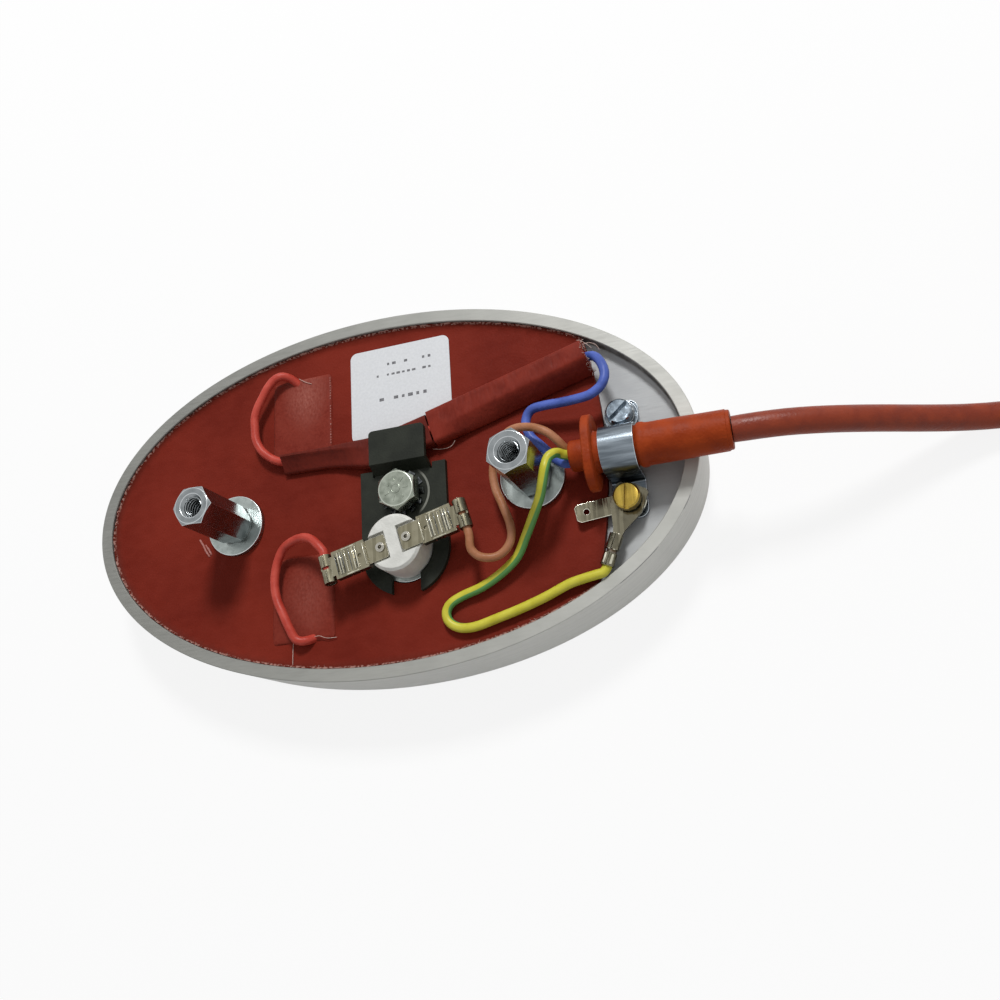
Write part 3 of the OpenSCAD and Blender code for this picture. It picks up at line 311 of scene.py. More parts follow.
# Tin over brass: yellow-grey, with drawing lines and painted highlight on its bevelled edges
def tinnedBrass(name, tone, shade, rough, edge="#dcd8c8"):
    material, tree, shader, place = newMaterial(name, {"Metallic": 1.0, "Roughness": rough})
    lines = speckle(tree, place, 0.9, 0.44, 0.56, (1, 0.03, 1), 0.25, 0.0)
    cloud = speckle(tree, place, 2)
    colour = between(tree, cloud, tone, shade, 0.35)
    colour = between(tree, lines, colour, shade, 0.4)
    bevelHighlight = addNode(tree, "ShaderNodeAttribute", attribute_name="edge").outputs["Fac"]
    setColour(tree, shader, between(tree, bevelHighlight, colour, edge, 0.8))
    setRoughness(tree, shader, cloud, rough - 0.06, rough + 0.08)
    addRelief(tree, shader, lines, 0.02)
    return material


def paperLabel():  # matt printed film, faintly mottled
    material, tree, shader, place = newMaterial("paperLabel", {"Roughness": 0.6})
    fine = speckle(tree, place, 0.6)
    setColour(tree, shader, between(tree, fine, "#d6d8db", "#dddfe2"))
    return material


def plainFinish(name, colour, rough, metallic=0.0):  # small pieces whose finish is even
    material, tree, shader, place = newMaterial(name, {"Roughness": rough, "Metallic": metallic})
    fine = speckle(tree, place, 0.8)
    setColour(tree, shader, between(tree, fine, colour, "#ffffff", 0.08))
    return material


finishes = {
    "plate": castAluminium(),
    "mat": siliconeMat(),
    "patch": siliconePatch("siliconePatch", (-20.2, 32, 0.75)),
    "patchPlain": siliconePatch("siliconePatchPlain", (-20, -27, 0.35)),
    "sleeve": coatedSleeve("coatedSleeve", "#6a1f14", "#7d291c", "#8b3527"),
    # The narrow sleeve is the same coated sleeve in darker colours: painted shade on its flank, which faces away from
    # the light
    "narrowSleeve": coatedSleeve("coatedSleeveNarrowShaded", "#54170e", "#652016", "#742a1e"),
    "lead": smoothSilicone("leadSilicone", "#b03a2d", "#c34d3f", 0.42, 0.02, 0.25),
    "gland": smoothSilicone("glandSilicone", "#8e330f", "#a13f17", 0.48, 0.04, 0.12),
    "sheath": smoothSilicone("sheathSilicone", "#7c2b12", "#8c371c", 0.42, 0.03, 0.3),
    "blue": smoothSilicone("blueSilicone", "#455aa6", "#586fc4", 0.4, 0.02, 0.25),
    "brown": smoothSilicone("brownSilicone", "#a06845", "#b37b5c", 0.42, 0.02, 0.25),
    "earth": earthSilicone(),
    "zinc": zincPlated("zincPlatedSteel", "#94989a", "#777c7e", 0.17, 0.02, "#bfc3c5"),
    "bolt": zincPlated("zincPlatedBolt", "#a3a99d", "#757b70", 0.22, 0.03, "#bcc1b6"),
    # The strap's dark streaks, stretched along the cable, are painted reflection bands
    "strap": zincPlated("zincPlatedStrap", "#8b949c", "#2f373e", 0.24, 0.06, "#c9d0d6", (0.12, 1, 1)),
    "screw": zincPlated("zincPlatedScrew", "#a9b5c0", "#5d6872", 0.18, 0.1, "#dfe5ea"),
    "washer": zincPlated("zincPlatedWasher", "#a8b0ad", "#8a918e", 0.28, 0.015),
    # Near-black spring steel with pale blotches: painted glints on the teeth
    "toothed": zincPlated("oilBlackSpring", "#7d8183", "#17191a", 0.16, 0.08, "#a5a8a9"),
    "greyTooth": zincPlated("greySpring", "#7b7d78", "#55574f", 0.3, 0.02, "#9a9c96"),
    "black": blackenedSteel(),
    "ceramic": glazedCeramic(),
    "terminal": tinnedBrass("tinnedBrass", "#8f8a76", "#55513f", 0.26, "#efece0"),
    "olive": tinnedBrass("tinnedBrassOlive", "#7d7866", "#3d3a30", 0.2, "#efeddc"),
    # Near-white tin for the crimp wings and the receptacles' ribs and folded sides: painted highlight
    "crimp": tinnedBrass("tinnedCrimpHighlight", "#e2dfce", "#8f8b77", 0.16),
    "brass": tinnedBrass("brightBrass", "#a48d41", "#7a6229", 0.28, "#d8d0a2"),
    "label": paperLabel(),
    "ink": plainFinish("printerInk", "#5a5a5e", 0.6),
    "fibre": plainFinish("glassFibre", "#c8aca1", 0.5),
    "bloom": plainFinish("siliconeBloom", "#9c574c", 0.6),
    "copper": plainFinish("tinnedCopper", "#9d9a90", 0.3, 1.0),
    "dullCopper": plainFinish("oxidisedCopper", "#4f4130", 0.4, 1.0),
    "tie": plainFinish("blackTie", "#1e1e1f", 0.45),
}
print("materials made:", len(finishes))


# Piece helpers
def setPiece(piece, finish, slot, *replaced):
    piece.data.materials.clear()
    piece.data.materials.append(finishes[finish])
    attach(piece, "root")
    if replaced:
        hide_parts(*replaced)
    return piece


# Mesh object from points in millimetres; edges sharper than the angle stay sharp
def meshPiece(name, points, faces, sharp=35):
    mesh = bpy.data.meshes.new(name)
    mesh.from_pydata([Vector(p) * mm for p in points], [], faces)
    mesh.validate()
    mesh.shade_smooth()
    mesh.set_sharp_from_angle(angle=math.radians(sharp))
    piece = bpy.data.objects.new(name, mesh)
    scene.collection.objects.link(piece)
    return piece


# Faces between rings of points; closed joins the last ring to the first
def ringFaces(rings, around, closed=False, first=0):
    faces = []
    for i in range(rings if closed else rings - 1):
        for k in range(around):
            a = first + i * around + k
            b = first + i * around + (k + 1) % around
            c = first + (i + 1) % rings * around + (k + 1) % around
            d = first + (i + 1) % rings * around + k
            faces.append((a, b, c, d))
    return faces


# Curve through given points, each gap cut into equal steps
def smoothRoute(points, steps):
    p = [Vector(q) for q in points]
    last = len(p) - 1
    route = []
    for i in range(last):
        a, b, c, d = p[max(i - 1, 0)], p[i], p[i + 1], p[min(i + 2, last)]
        for j in range(steps):
            t = j / steps
            route.append(0.5 * (2 * b + (c - a) * t + (2 * a - 5 * b + 4 * c - d) * t * t
                                + (3 * b - a - 3 * c + d) * t ** 3))
    route.append(p[last])
    return route


def headingAt(route, i):
    return (route[min(i + 1, len(route) - 1)] - route[max(i - 1, 0)]).normalized()


def acrossOf(heading):
    return heading.cross(Vector((0, 0, 1))).normalized()


def routeLength(route):
    return sum((b - a).length for a, b in zip(route, route[1:]))


# Round tube along a route, with rounded ends; turns lists (share of the route, turn of its stripe)
def tube(name, points, diameter, steps=4, around=16, turns=((0, 0), (1, 0)), edge=0.12):
    route = smoothRoute(points, steps)
    start, end = route[0], route[-1]
    first, last = headingAt(route, 0), headingAt(route, len(route) - 1)
    inset = min(edge, diameter / 4)
    stations = [(start, first, 0.55), (start + first * inset * 0.3, first, 1 - inset / diameter)]
    stations += [(route[i], headingAt(route, i), 1) for i in range(1, len(route) - 1)]
    stations += [(end - last * inset * 0.3, last, 1 - inset / diameter), (end, last, 0.55)]
    rings, share, total = [], [], max(routeLength(route), 1e-6)
    run, before = 0, start
    for centre, heading, size in stations:
        side = acrossOf(heading)
        up = side.cross(heading)
        run += (centre - before).length
        before = centre
        share.append(run / total)
        for k in range(around):
            a = 2 * math.pi * (k + 0.5) / around
            rings.append(centre + (side * math.cos(a) + up * math.sin(a)) * (diameter / 2 * size))
    count = len(stations)
    faces = ringFaces(count, around)
    faces.append(tuple(reversed(range(around))))
    faces.append(tuple(range((count - 1) * around, count * around)))
    piece = meshPiece(name, rings, faces, 60)
    wrap = piece.data.uv_layers.new(name="wrap")
    for face in piece.data.polygons:
        for corner, vertex in zip(face.loop_indices, face.vertices):
            ring, k = divmod(vertex, around)
            angle = (k + 0.5) / around
            if face.index < (count - 1) * around and k == 0 and (face.index % around) == around - 1:
                angle += 1
            shift = turnAt(turns, share[ring])
            wrap.data[corner].uv = (angle - shift, share[ring] * total)
    return piece


def turnAt(turns, share):
    for (a, low), (b, high) in zip(turns, turns[1:]):
        if share <= b:
            f = (share - a) / (b - a)
            return low + (high - low) * f * f * (3 - 2 * f)
    return turns[-1][1]


def moved(origin, points):
    return [Vector(origin) + Vector(p) for p in points]


# Heights and anchors of the model, repeated from the part
floorZ = 15.7
deckZ = 17.7
deck = (0, 0, deckZ)
mouth = (56.0, -2.2, 24.7)
switchAt = (8.9, -17.5)
postRight = (44.4, -3.5, deckZ)
postLeft = (-42.0, -3.5, deckZ)
boltAt = (8.9, -2.4)
screwLower = (68.2, -13.4)
terminalTurn = 14
conductorSize = 2.44
leadSize = 2.4
sheathSize = 6.4
trefoilRadius = conductorSize / math.sqrt(3) + 0.05


def trefoil(turn):
    a = math.radians(turn)
    return Vector((0, trefoilRadius * math.cos(a), trefoilRadius * math.sin(a)))


# Supply cable: out of the gland, down to the bench, into a coil and out on a smaller circle
coil = {"centre": (211, 39.2), "outer": 41.4, "inner": 35, "low": 3.25, "high": 9.65, "last": 1180, "step": 10}
tail = {"radius": 26, "start": 100, "sweep": 115, "rest": 3.25}
cableRoute = [(95, -2.2, 24.7), (101, -2.2, 24.4), (107, -2.2, 23.6), (113, -2.2, 21.9), (119, -2.2, 19.6),
              (125, -2.2, 16.9), (131, -2.2, 13.9), (137, -2.2, 10.8), (143, -2.2, 7.9), (149, -2.2, 5.5),
              (155, -2.2, 3.9), (162, -2.2, 3.3), (173, -2.2, 3.25), (184, -2.2, 3.25), (196, -2.2, 3.25)]


def easeBetween(t, start, end, low, high):
    f = min(1, max(0, (t - start) / (end - start)))
    return low + (high - low) * f * f * (3 - 2 * f)


def onCircle(centre, radius, turn, height):
    a = math.radians(turn)
    return Vector((centre[0] + radius * math.sin(a), centre[1] - radius * math.cos(a), height))


def coilPoint(turn):
    radius = easeBetween(turn, 575, 630, coil["outer"], coil["inner"])
    height = easeBetween(turn, 270, 325, coil["low"], coil["high"])
    height -= easeBetween(turn, 880, 935, 0, coil["high"] - coil["low"])
    return onCircle(coil["centre"], radius, turn, height)


tailCentre = onCircle(coil["centre"], coil["inner"] - tail["radius"], tail["start"], 0)
tailPoints = [onCircle(tailCentre, tail["radius"], tail["start"] + t, tail["rest"])
              for t in range(5, tail["sweep"] + 1, 5)]
woundPoints = [coilPoint(t) for t in range(0, coil["last"] + 1, coil["step"])]
cablePoints = [Vector(p) for p in cableRoute] + woundPoints + tailPoints
supplyCable = tube("supplyCable", cablePoints, sheathSize, 2, 20)
setPiece(supplyCable, "sheath", "sheath_silicone", "supply_cable", "cable_coil", "cable_tail")
cableInGland = tube("cableInGland", [(58.2, -2.2, 24.7), (70, -2.2, 24.7), (94.9, -2.2, 24.7)], sheathSize, 4, 20)
setPiece(cableInGland, "sheath", "sheath_silicone")

tailEnd = tailPoints[-1]
tailHeading = math.radians(tail["start"] + tail["sweep"])
tailConductors = {"blue": (30, 210, "blue_silicone"), "brown": (20, 90, "brown_silicone"),
                  "earth": (15, 330, "earth_silicone")}
tailReach = 27
ferruleRest = 1.55


# Point on a bare conductor, so far past the end of the sheath
def onTailConductor(radius, turn, s):
    a = s / radius
    start = trefoil(turn)
    x = radius * math.sin(a) - start.y * math.sin(a)
    y = radius * (1 - math.cos(a)) + start.y * math.cos(a)
    z = easeBetween(s, 6, 18, tail["rest"] + start.z, ferruleRest)
    return Vector((tailEnd.x + x * math.cos(tailHeading) - y * math.sin(tailHeading),
                   tailEnd.y + x * math.sin(tailHeading) + y * math.cos(tailHeading), z))


for colour, (radius, turn, slotName) in tailConductors.items():
    points = [onTailConductor(radius, turn, s) for s in (0.15, 1.5, 5, 9, 13, 17, 21, 24, tailReach)]
    wire = tube("tail" + colour.capitalize(), points, conductorSize, 4, 14)
    setPiece(wire, colour, slotName, "tail_conductor_" + colour)


# Two ties that hold the coil's turns together
tieSizes = {"turns": (60, 240), "width": 3.6, "thick": 0.5, "gap": 0.25}


def coilTie(name, turn, sizes):
    innerR = coil["inner"] - sheathSize / 2 - sizes["gap"]
    outerR = coil["outer"] + sheathSize / 2 + sizes["gap"]
    lowZ, highZ = 0.06, 2 * sheathSize + 0.05 + sizes["gap"]
    corner = 3.0
    a = math.radians(turn)
    outward = Vector((math.sin(a), -math.cos(a), 0))
    along = Vector((math.cos(a), math.sin(a), 0))
    loop = []
    for side, height, start in ((1, 1, 0), (-1, 1, 90), (-1, -1, 180), (1, -1, 270)):
        for k in range(7):
            b = math.radians(start + 15 * k)
            r = (outerR - corner) if side > 0 else (innerR + corner)
            z = (highZ - corner) if height > 0 else (lowZ + corner)
            loop.append((r + corner * math.cos(b), z + corner * math.sin(b), math.cos(b), math.sin(b)))
    centre = Vector((coil["centre"][0], coil["centre"][1], 0))
    rings = []
    for shift, grow in ((-0.5, 0), (0.5, 0), (0.5, 1), (-0.5, 1)):
        for r, z, nr, nz in loop:
            spot = centre + outward * (r - nr * sizes["thick"] * (1 - grow)) + along * shift * sizes["width"]
            rings.append(spot + Vector((0, 0, max(z - nz * sizes["thick"] * (1 - grow), 0.06))))
    piece = meshPiece(name, rings, ringFaces(4, len(loop), True))
    return setPiece(piece, "tie", "sheath_silicone")


for i, turn in enumerate(tieSizes["turns"]):
    coilTie("coilTie" + str(i + 1), turn, tieSizes)


# Hook-up wires and heater leads, as offsets from what each stretch lies beside
wideSleeve = {"start": (18.1, 14.1), "turn": 14.5, "length": 45, "low": 3.6, "high": 6.0, "rest": deckZ + 0.3}
spliceAt = 16.4


def wideHeight(d):
    return wideSleeve["low"] + (wideSleeve["high"] - wideSleeve["low"]) * d / wideSleeve["length"]


def wideAxis(d):
    a = math.radians(wideSleeve["turn"])
    return Vector((wideSleeve["start"][0] + d * math.cos(a), wideSleeve["start"][1] + d * math.sin(a),
                   wideSleeve["rest"] + wideHeight(d) / 2))


def inSplice(d):
    spot = wideAxis(spliceAt + d)
    spot.z = wideAxis(spliceAt).z
    return spot


barrelAt = 19.3
barrelZ = 26.2


# Place on a switch terminal's own axis, out along it and across it
def atTerminal(turn, out, side):
    a = math.radians(turn)
    return Vector((switchAt[0] + out * math.cos(a) - side * math.sin(a),
                   switchAt[1] + out * math.sin(a) + side * math.cos(a), barrelZ))


ringTurn = 247
crimpZ = 19.54


def atRing(out):
    a = math.radians(ringTurn)
    return Vector((screwLower[0] + out * math.cos(a), screwLower[1] + out * math.sin(a), crimpZ))


upperLead = moved(deck, [
    (-22.4, 35.6, -0.9), (-23.2, 36.5, 0.1), (-24.2, 37.4, 1.2), (-25.4, 38, 2.2), (-26.9, 38.1, 3), (-28.7, 37.3, 3.4),
    (-30.6, 35.1, 3.7), (-32.2, 32.5, 3.7), (-33.8, 29.8, 3.6), (-34.8, 26.9, 3.5), (-34.9, 23.8, 3.3),
    (-34.6, 20.2, 3.1), (-33.1, 16.9, 2.8), (-30.8, 14.6, 2.5), (-28.4, 13.1, 2.2), (-25.6, 12.4, 2),
    (-20, 12.25, 1.92), (-12, 12.1, 1.92), (-4, 11.5, 1.92), (2, 10.8, 1.95), (9, 11.8, 1.95), (17, 13.8, 1.95)
]) + [wideAxis(8), inSplice(-1), inSplice(4)]
lowerLead = moved(deck, [
    (-18, -37.2, -0.9), (-19, -37.8, 0.2), (-20, -38.2, 1.2), (-21.3, -38.3, 1.9), (-22.8, -37.5, 2.4), (-24.2, -34.6, 3),
    (-25.8, -30.8, 3.3),
    (-27.5, -27, 3.3), (-28.3, -23, 3.3), (-28.1, -19, 3.3), (-27.1, -15.6, 3.4), (-25.2, -13.1, 4),
    (-21.8, -11.9, 5.3), (-17.8, -11.8, 6.7), (-14.7, -13.2, 7.8), (-12.6, -15.2, 8.4)
]) + [atTerminal(terminalTurn + 180, barrelAt, side) for side in (-5.2, -3.6, 0, 2.6)]
blueWire = moved(Vector(mouth) + trefoil(210), [(2, 0, 0), (0, 0, 0), (-2, 0.4, -0.6)]) + moved(postRight, [
    (7.5, 2, 5.1), (5.7, 4.1, 4.9), (3.4, 6.8, 4.7), (1.2, 9.4, 4.5), (0.1, 12.8, 4.1), (0.6, 15.4, 4.1),
    (2.3, 16.8, 4.5), (5.8, 16.9, 5.1), (9.8, 16.7, 5.5), (14, 16.7, 5.9), (17.7, 17, 6.4)
]) + moved(wideAxis(45), [
    (3.4, -10.2, 3.4), (4.6, -7.4, 3.2), (4, -3.9, 2.4), (2.2, -1, 1.2), (-0.4, -0.2, 0.2)
]) + [wideAxis(39), wideAxis(33), inSplice(11), inSplice(6)]
brownWire = moved(Vector(mouth) + trefoil(330), [
    (2, 0, 0), (0, 0, 0), (-1.4, 1.4, 1.4), (-3, 3.4, 2.9)
]) + moved(postRight, [
    (6.4, 8, 9.9), (2.8, 9.9, 9.5), (-1.4, 10.8, 8.5), (-4.8, 9.9, 7.3), (-7.4, 6.5, 6.1), (-9.1, 1.9, 5.3),
    (-8.8, -2.9, 5.1), (-7.2, -7.7, 5.1), (-5.6, -12.7, 5.3), (-5.4, -16.5, 5.7), (-7, -19.4, 5.9)
]) + moved((switchAt[0], switchAt[1], deckZ), [(25.8, -6.9, 6.3), (22.4, -6.6, 7.3), (20.3, -4.5, 8.1)]) + [
    atTerminal(terminalTurn, barrelAt, side) for side in (-6, -3.8, 0, 2.6)]
earthWire = moved(Vector(mouth) + trefoil(90), [
    (2, 0, 0), (0, 0, 0), (-1.4, 0.1, 1), (-2.4, 0.2, 2.4), (-3.4, -0.6, 4.2)
]) + moved(postRight, [
    (7.2, -0.5, 13.3), (6.5, -3.1, 14.1), (5.5, -6.1, 13.2), (4, -9.1, 11.1), (1.2, -12.7, 8.1),
    (-1.8, -16.5, 5.2), (-5, -20.8, 3.1), (-9.6, -24.2, 2.3)
]) + moved(deck, [
    (29.4, -30.3, 1.7), (24.2, -31.8, 1.35), (20.8, -33.4, 1.35), (19.5, -35.6, 1.35), (20.1, -38, 1.35),
    (22.8, -39.8, 1.35), (27, -40, 1.35), (33.2, -38.5, 1.35), (39.2, -36.9, 1.4), (45.4, -34.9, 1.5),
    (51.6, -32.5, 1.7), (55.8, -31.6, 1.8)
]) + [atRing(19.6) + Vector((-2, 0.3, 0)), atRing(18.9) + Vector((-0.5, 0, 0)), atRing(17.4), atRing(13.5),
      atRing(9.8)]

earthTurns = ((0, 0.1), (0.14, 0.0), (0.3, -0.05), (0.48, -0.03), (0.56, 0.06), (0.68, 0.3), (1, 0.3))
wires = {
    "upperHeaterLead": (upperLead, leadSize, "lead", "lead_silicone", "red_lead_upper"),
    "lowerHeaterLead": (lowerLead, leadSize, "lead", "lead_silicone", "red_lead_lower"),
    "blueConductor": (blueWire, conductorSize, "blue", "blue_silicone", "blue_conductor"),
    "brownConductor": (brownWire, 2.15, "brown", "brown_silicone", "brown_conductor"),
    "earthConductor": (earthWire, conductorSize, "earth", "earth_silicone", "earth_conductor"),
}
for name, (points, size, finish, slotName, replaced) in wires.items():
    turns = earthTurns if finish == "earth" else ((0, 0), (1, 0))
    setPiece(tube(name, points, size, 6, 20, turns), finish, slotName, replaced)
strand = tube("earthStrand", [atRing(14.5), atRing(13.7), atRing(12.9)], conductorSize + 0.06, 2, 16)
setPiece(strand, "dullCopper", "earth_silicone")


# Rolled wings of the ring terminal's two crimps: distance out, length, distance from the axis, thickness, height
crimpWings = {"wire": (9.2, 4.2, 0.62, 0.9, 1.5), "insulation": (14.5, 2.5, 0.85, 0.8, 1.72)}
# The wings are in near-white tin: painted highlight on the rolled edges
for crimp, (out, length, side, size, rise) in crimpWings.items():
    for way in (-1, 1):
        spots = [atRing(out + length * k / 3) + acrossOf(atRing(1) - atRing(0)) * side * way
                 + Vector((0, 0, rise - size / 2)) for k in range(4)]
        wing = tube(crimp + "Wing" + ("Left" if way < 0 else "Right"), spots, size, 2, 12)
        setPiece(wing, "crimp", "tinned_brass")
print("wires made")


# Heating plate: one oval casting, its edges broken and its pocket milled
plate = {"length": 173.6, "width": 100.8, "around": 360,
         "profile": ((20, 0), (0.3, 0), (0, 0.3), (0, 19), (0.2, 19.2), (3.32, 19.2), (3.5, 19.02), (3.5, 16.3),
                     (3.62, 15.95), (4.0, 15.75), (4.6, floorZ), (20, floorZ))}


def heatingPlate(sizes):
    around = sizes["around"]
    points = []
    for inset, z in sizes["profile"]:
        for k in range(around):
            a = 2 * math.pi * k / around
            points.append(((sizes["length"] / 2 - inset) * math.cos(a), (sizes["width"] / 2 - inset) * math.sin(a), z))
    rings = len(sizes["profile"])
    faces = ringFaces(rings, around)
    for centreZ, first, flip in ((0, 0, True), (floorZ, (rings - 1) * around, False)):
        points.append((0, 0, centreZ))
        middle = len(points) - 1
        for k in range(around):
            a, b = first + k, first + (k + 1) % around
            faces.append((b, a, middle) if flip else (a, b, middle))
    return meshPiece("heatingPlate", points, faces, 25)


def cutWith(piece, cutter):
    cut = piece.modifiers.new("cut", "BOOLEAN")
    cut.operation = "DIFFERENCE"
    cut.solver = "EXACT"
    cut.object = cutter
    bakeModifiers(piece)
    bpy.data.objects.remove(cutter)


def bakeModifiers(piece):
    evaluated = piece.evaluated_get(bpy.context.evaluated_depsgraph_get())
    mesh = bpy.data.meshes.new_from_object(evaluated)
    piece.modifiers.clear()
    piece.data = mesh


def drillBits(holes):
    solids = bmesh.new()
    for x, y, low, high, radius in holes:
        spot = Matrix.Translation(Vector((x, y, (low + high) / 2)) * mm)
        bmesh.ops.create_cone(solids, cap_ends=True, segments=40, radius1=radius * mm, radius2=radius * mm,
                              depth=(high - low) * mm, matrix=spot)
    mesh = bpy.data.meshes.new("drillBits")
    solids.to_mesh(mesh)
    solids.free()
    bits = bpy.data.objects.new("drillBits", mesh)
    scene.collection.objects.link(bits)
    return bits


plateHoles = [(postLeft[0], postLeft[1], 6.7, 17, 3.1), (postRight[0], postRight[1], 6.7, 17, 3.1),
              (boltAt[0], boltAt[1], 4.9, 17, 3.1), (68.2, 9.0, 7.7, 17, 2.1), (68.2, -13.4, 7.7, 17, 2.1)]
plateBody = heatingPlate(plate)
cutWith(plateBody, drillBits(plateHoles))
plateBody.data.set_sharp_from_angle(angle=math.radians(25))
setPiece(plateBody, "plate", "plate_aluminium", "heating_plate")
print("plate made")


# Heater mat: cut sheet with a ragged edge, light wrinkles and holes under the washers
mat = {"halfLength": 83.2, "halfWidth": 46.8, "endRadius": 130, "endCentre": (-66.4, 3), "spacing": 1.3,
       "ragged": 0.16, "curl": 1.25, "curlWidth": 1.7, "around": 460, "seed": 11}
matHoles = ((postLeft[0], postLeft[1], 3.3), (postRight[0], postRight[1], 3.3), (boltAt[0], boltAt[1], 3.3),
            (switchAt[0], switchAt[1], 8.8))
# Straight welts where the heater's layers end: x, lowest y and highest y
matWelts = ((-11.2, -18, 12.5), (-8.9, -18, 7.8))


def matReach(a):
    c, s = math.cos(a), math.sin(a)
    oval = 1 / math.hypot(c / mat["halfLength"], s / mat["halfWidth"])
    ox, oy = mat["endCentre"]
    b = c * ox + s * oy
    arc = b + math.sqrt(max(b * b - ox * ox - oy * oy + mat["endRadius"] ** 2, 0))
    return min(oval, arc), arc < oval


def matRipple(x, y):
    spot = Vector((x, y, 0))
    height = -0.07 * (1 + noise.noise(spot / 9)) - 0.03 * noise.noise(spot / 3)
    fromPost = Vector((x - postLeft[0], y - postLeft[1]))
    if 9 < fromPost.length < 24:
        angle = math.atan2(fromPost.y, fromPost.x)
        near = max(0, 1 - (fromPost.length - 9) / 14)
        corner = max(0, math.cos(angle + 2.45)) ** 4
        height += 0.26 * near * corner * (math.sin(angle * 16 + 1) + 0.4 * noise.noise(spot / 2))
    for weltX, low, high in matWelts:
        if low < y < high:
            height += 0.12 * math.exp(-((x - weltX) / 0.45) ** 2)
    if -45 < y < -38.5:
        height += 0.25 * math.exp(-((x + 24.5) / 0.35) ** 2)
    return height


def heaterMat(sizes):
    draw = random.Random(sizes["seed"])
    around = sizes["around"]
    outline = []
    for k in range(around):
        a = 2 * math.pi * k / around
        spot = Vector((math.cos(a), math.sin(a), 0)) * 40
        ragged = sizes["ragged"] * (0.5 + 0.5 * noise.noise(spot * 0.9)) * (0.4 + 0.6 * draw.random())
        r = matReach(a)[0] - ragged
        outline.append((r * math.cos(a), r * math.sin(a)))
    flat = [Vector(p) for p in outline]
    for inset in (0.45, 0.9):
        flat += [Vector(p) * (1 - inset / Vector(p).length) for p in outline]
    edges = [(k, (k + 1) % around) for k in range(around)]
    for x, y, r in matHoles:
        first = len(flat)
        count = 36
        flat += [Vector((x + r * math.cos(2 * math.pi * k / count), y + r * math.sin(2 * math.pi * k / count)))
                 for k in range(count)]
        edges += [(first + k, first + (k + 1) % count) for k in range(count)]
    gap = sizes["spacing"]
    for i in range(int(-sizes["halfLength"] / gap), int(sizes["halfLength"] / gap) + 1):
        for j in range(int(-sizes["halfWidth"] / gap), int(sizes["halfWidth"] / gap) + 1):
            x = (i + 0.5 * (j % 2)) * gap
            y = j * gap
            if math.hypot(x, y) > matReach(math.atan2(y, x))[0] - 1.5:
                continue
            if any(math.hypot(x - hx, y - hy) < r + 0.6 for hx, hy, r in matHoles):
                continue
            flat.append(Vector((x, y)))
    spots, _, triangles, _, _, _ = delaunay_2d_cdt(flat, edges, [], 1, 1e-5)
    kept = []
    for face in triangles:
        middle = sum((spots[v] for v in face), Vector((0, 0))) / 3
        if not any((middle - Vector((hx, hy))).length < r * 0.995 for hx, hy, r in matHoles):
            kept.append(face)
    surface = bmesh.new()
    edgeLayer = surface.verts.layers.float.new("edge")
    top, bottom = [], []
    for p in spots:
        reach, onArc = matReach(math.atan2(p.y, p.x))
        inside = reach - p.length
        fade = min(1, max(0, (inside - 0.6) / 2))
        ripple = matRipple(p.x, p.y) * fade - 0.12 * (1 - fade)
        if not onArc:
            lift = 0.8 + 0.35 * noise.noise(p.to_3d() * 0.5) + 0.35 * noise.noise(p.to_3d() * 1.7)
            ripple += sizes["curl"] * max(0, lift) * max(0, 1 - inside / sizes["curlWidth"]) ** 1.5
        vertex = surface.verts.new(Vector((p.x, p.y, deckZ + ripple)) * mm)
        # The edge value drives the mat's painted shade under the rim, weaker on the cut end that lies away from the rim
        vertex[edgeLayer] = (0.35 if onArc else 1) * (1 - min(1, max(0, (inside - 0.25) / 1.6)))
        top.append(vertex)
        under = surface.verts.new(Vector((p.x, p.y, floorZ + 0.02)) * mm)
        under[edgeLayer] = vertex[edgeLayer]
        bottom.append(under)
    count = {}
    for face in kept:
        a, b, c = face
        if (spots[b] - spots[a]).cross(spots[c] - spots[a]) < 0:
            face = (a, c, b)
        surface.faces.new([top[v] for v in face])
        surface.faces.new([bottom[v] for v in reversed(face)])
        for v, w in zip(face, face[1:] + face[:1]) if isinstance(face, tuple) else zip(face, face[1:] + [face[0]]):
            count[(v, w)] = True
    for v, w in count:
        if (w, v) not in count:
            surface.faces.new((top[w], top[v], bottom[v], bottom[w]))
    mesh = bpy.data.meshes.new("heaterMat")
    surface.to_mesh(mesh)
    surface.free()
    mesh.shade_smooth()
    mesh.set_sharp_from_angle(angle=math.radians(50))
    piece = bpy.data.objects.new("heaterMat", mesh)
    scene.collection.objects.link(piece)
    return piece, outline


matBody, matOutline = heaterMat(mat)
setPiece(matBody, "mat", "mat_silicone", "heating_mat")
print("mat made:", len(matBody.data.polygons), "faces")


# Patches over the lead joints: thin moulded sheets, domed along the joint
patchSizes = {"width": 18.4, "length": 23.4, "thick": 0.8, "corner": 1.6, "x": -21.4}


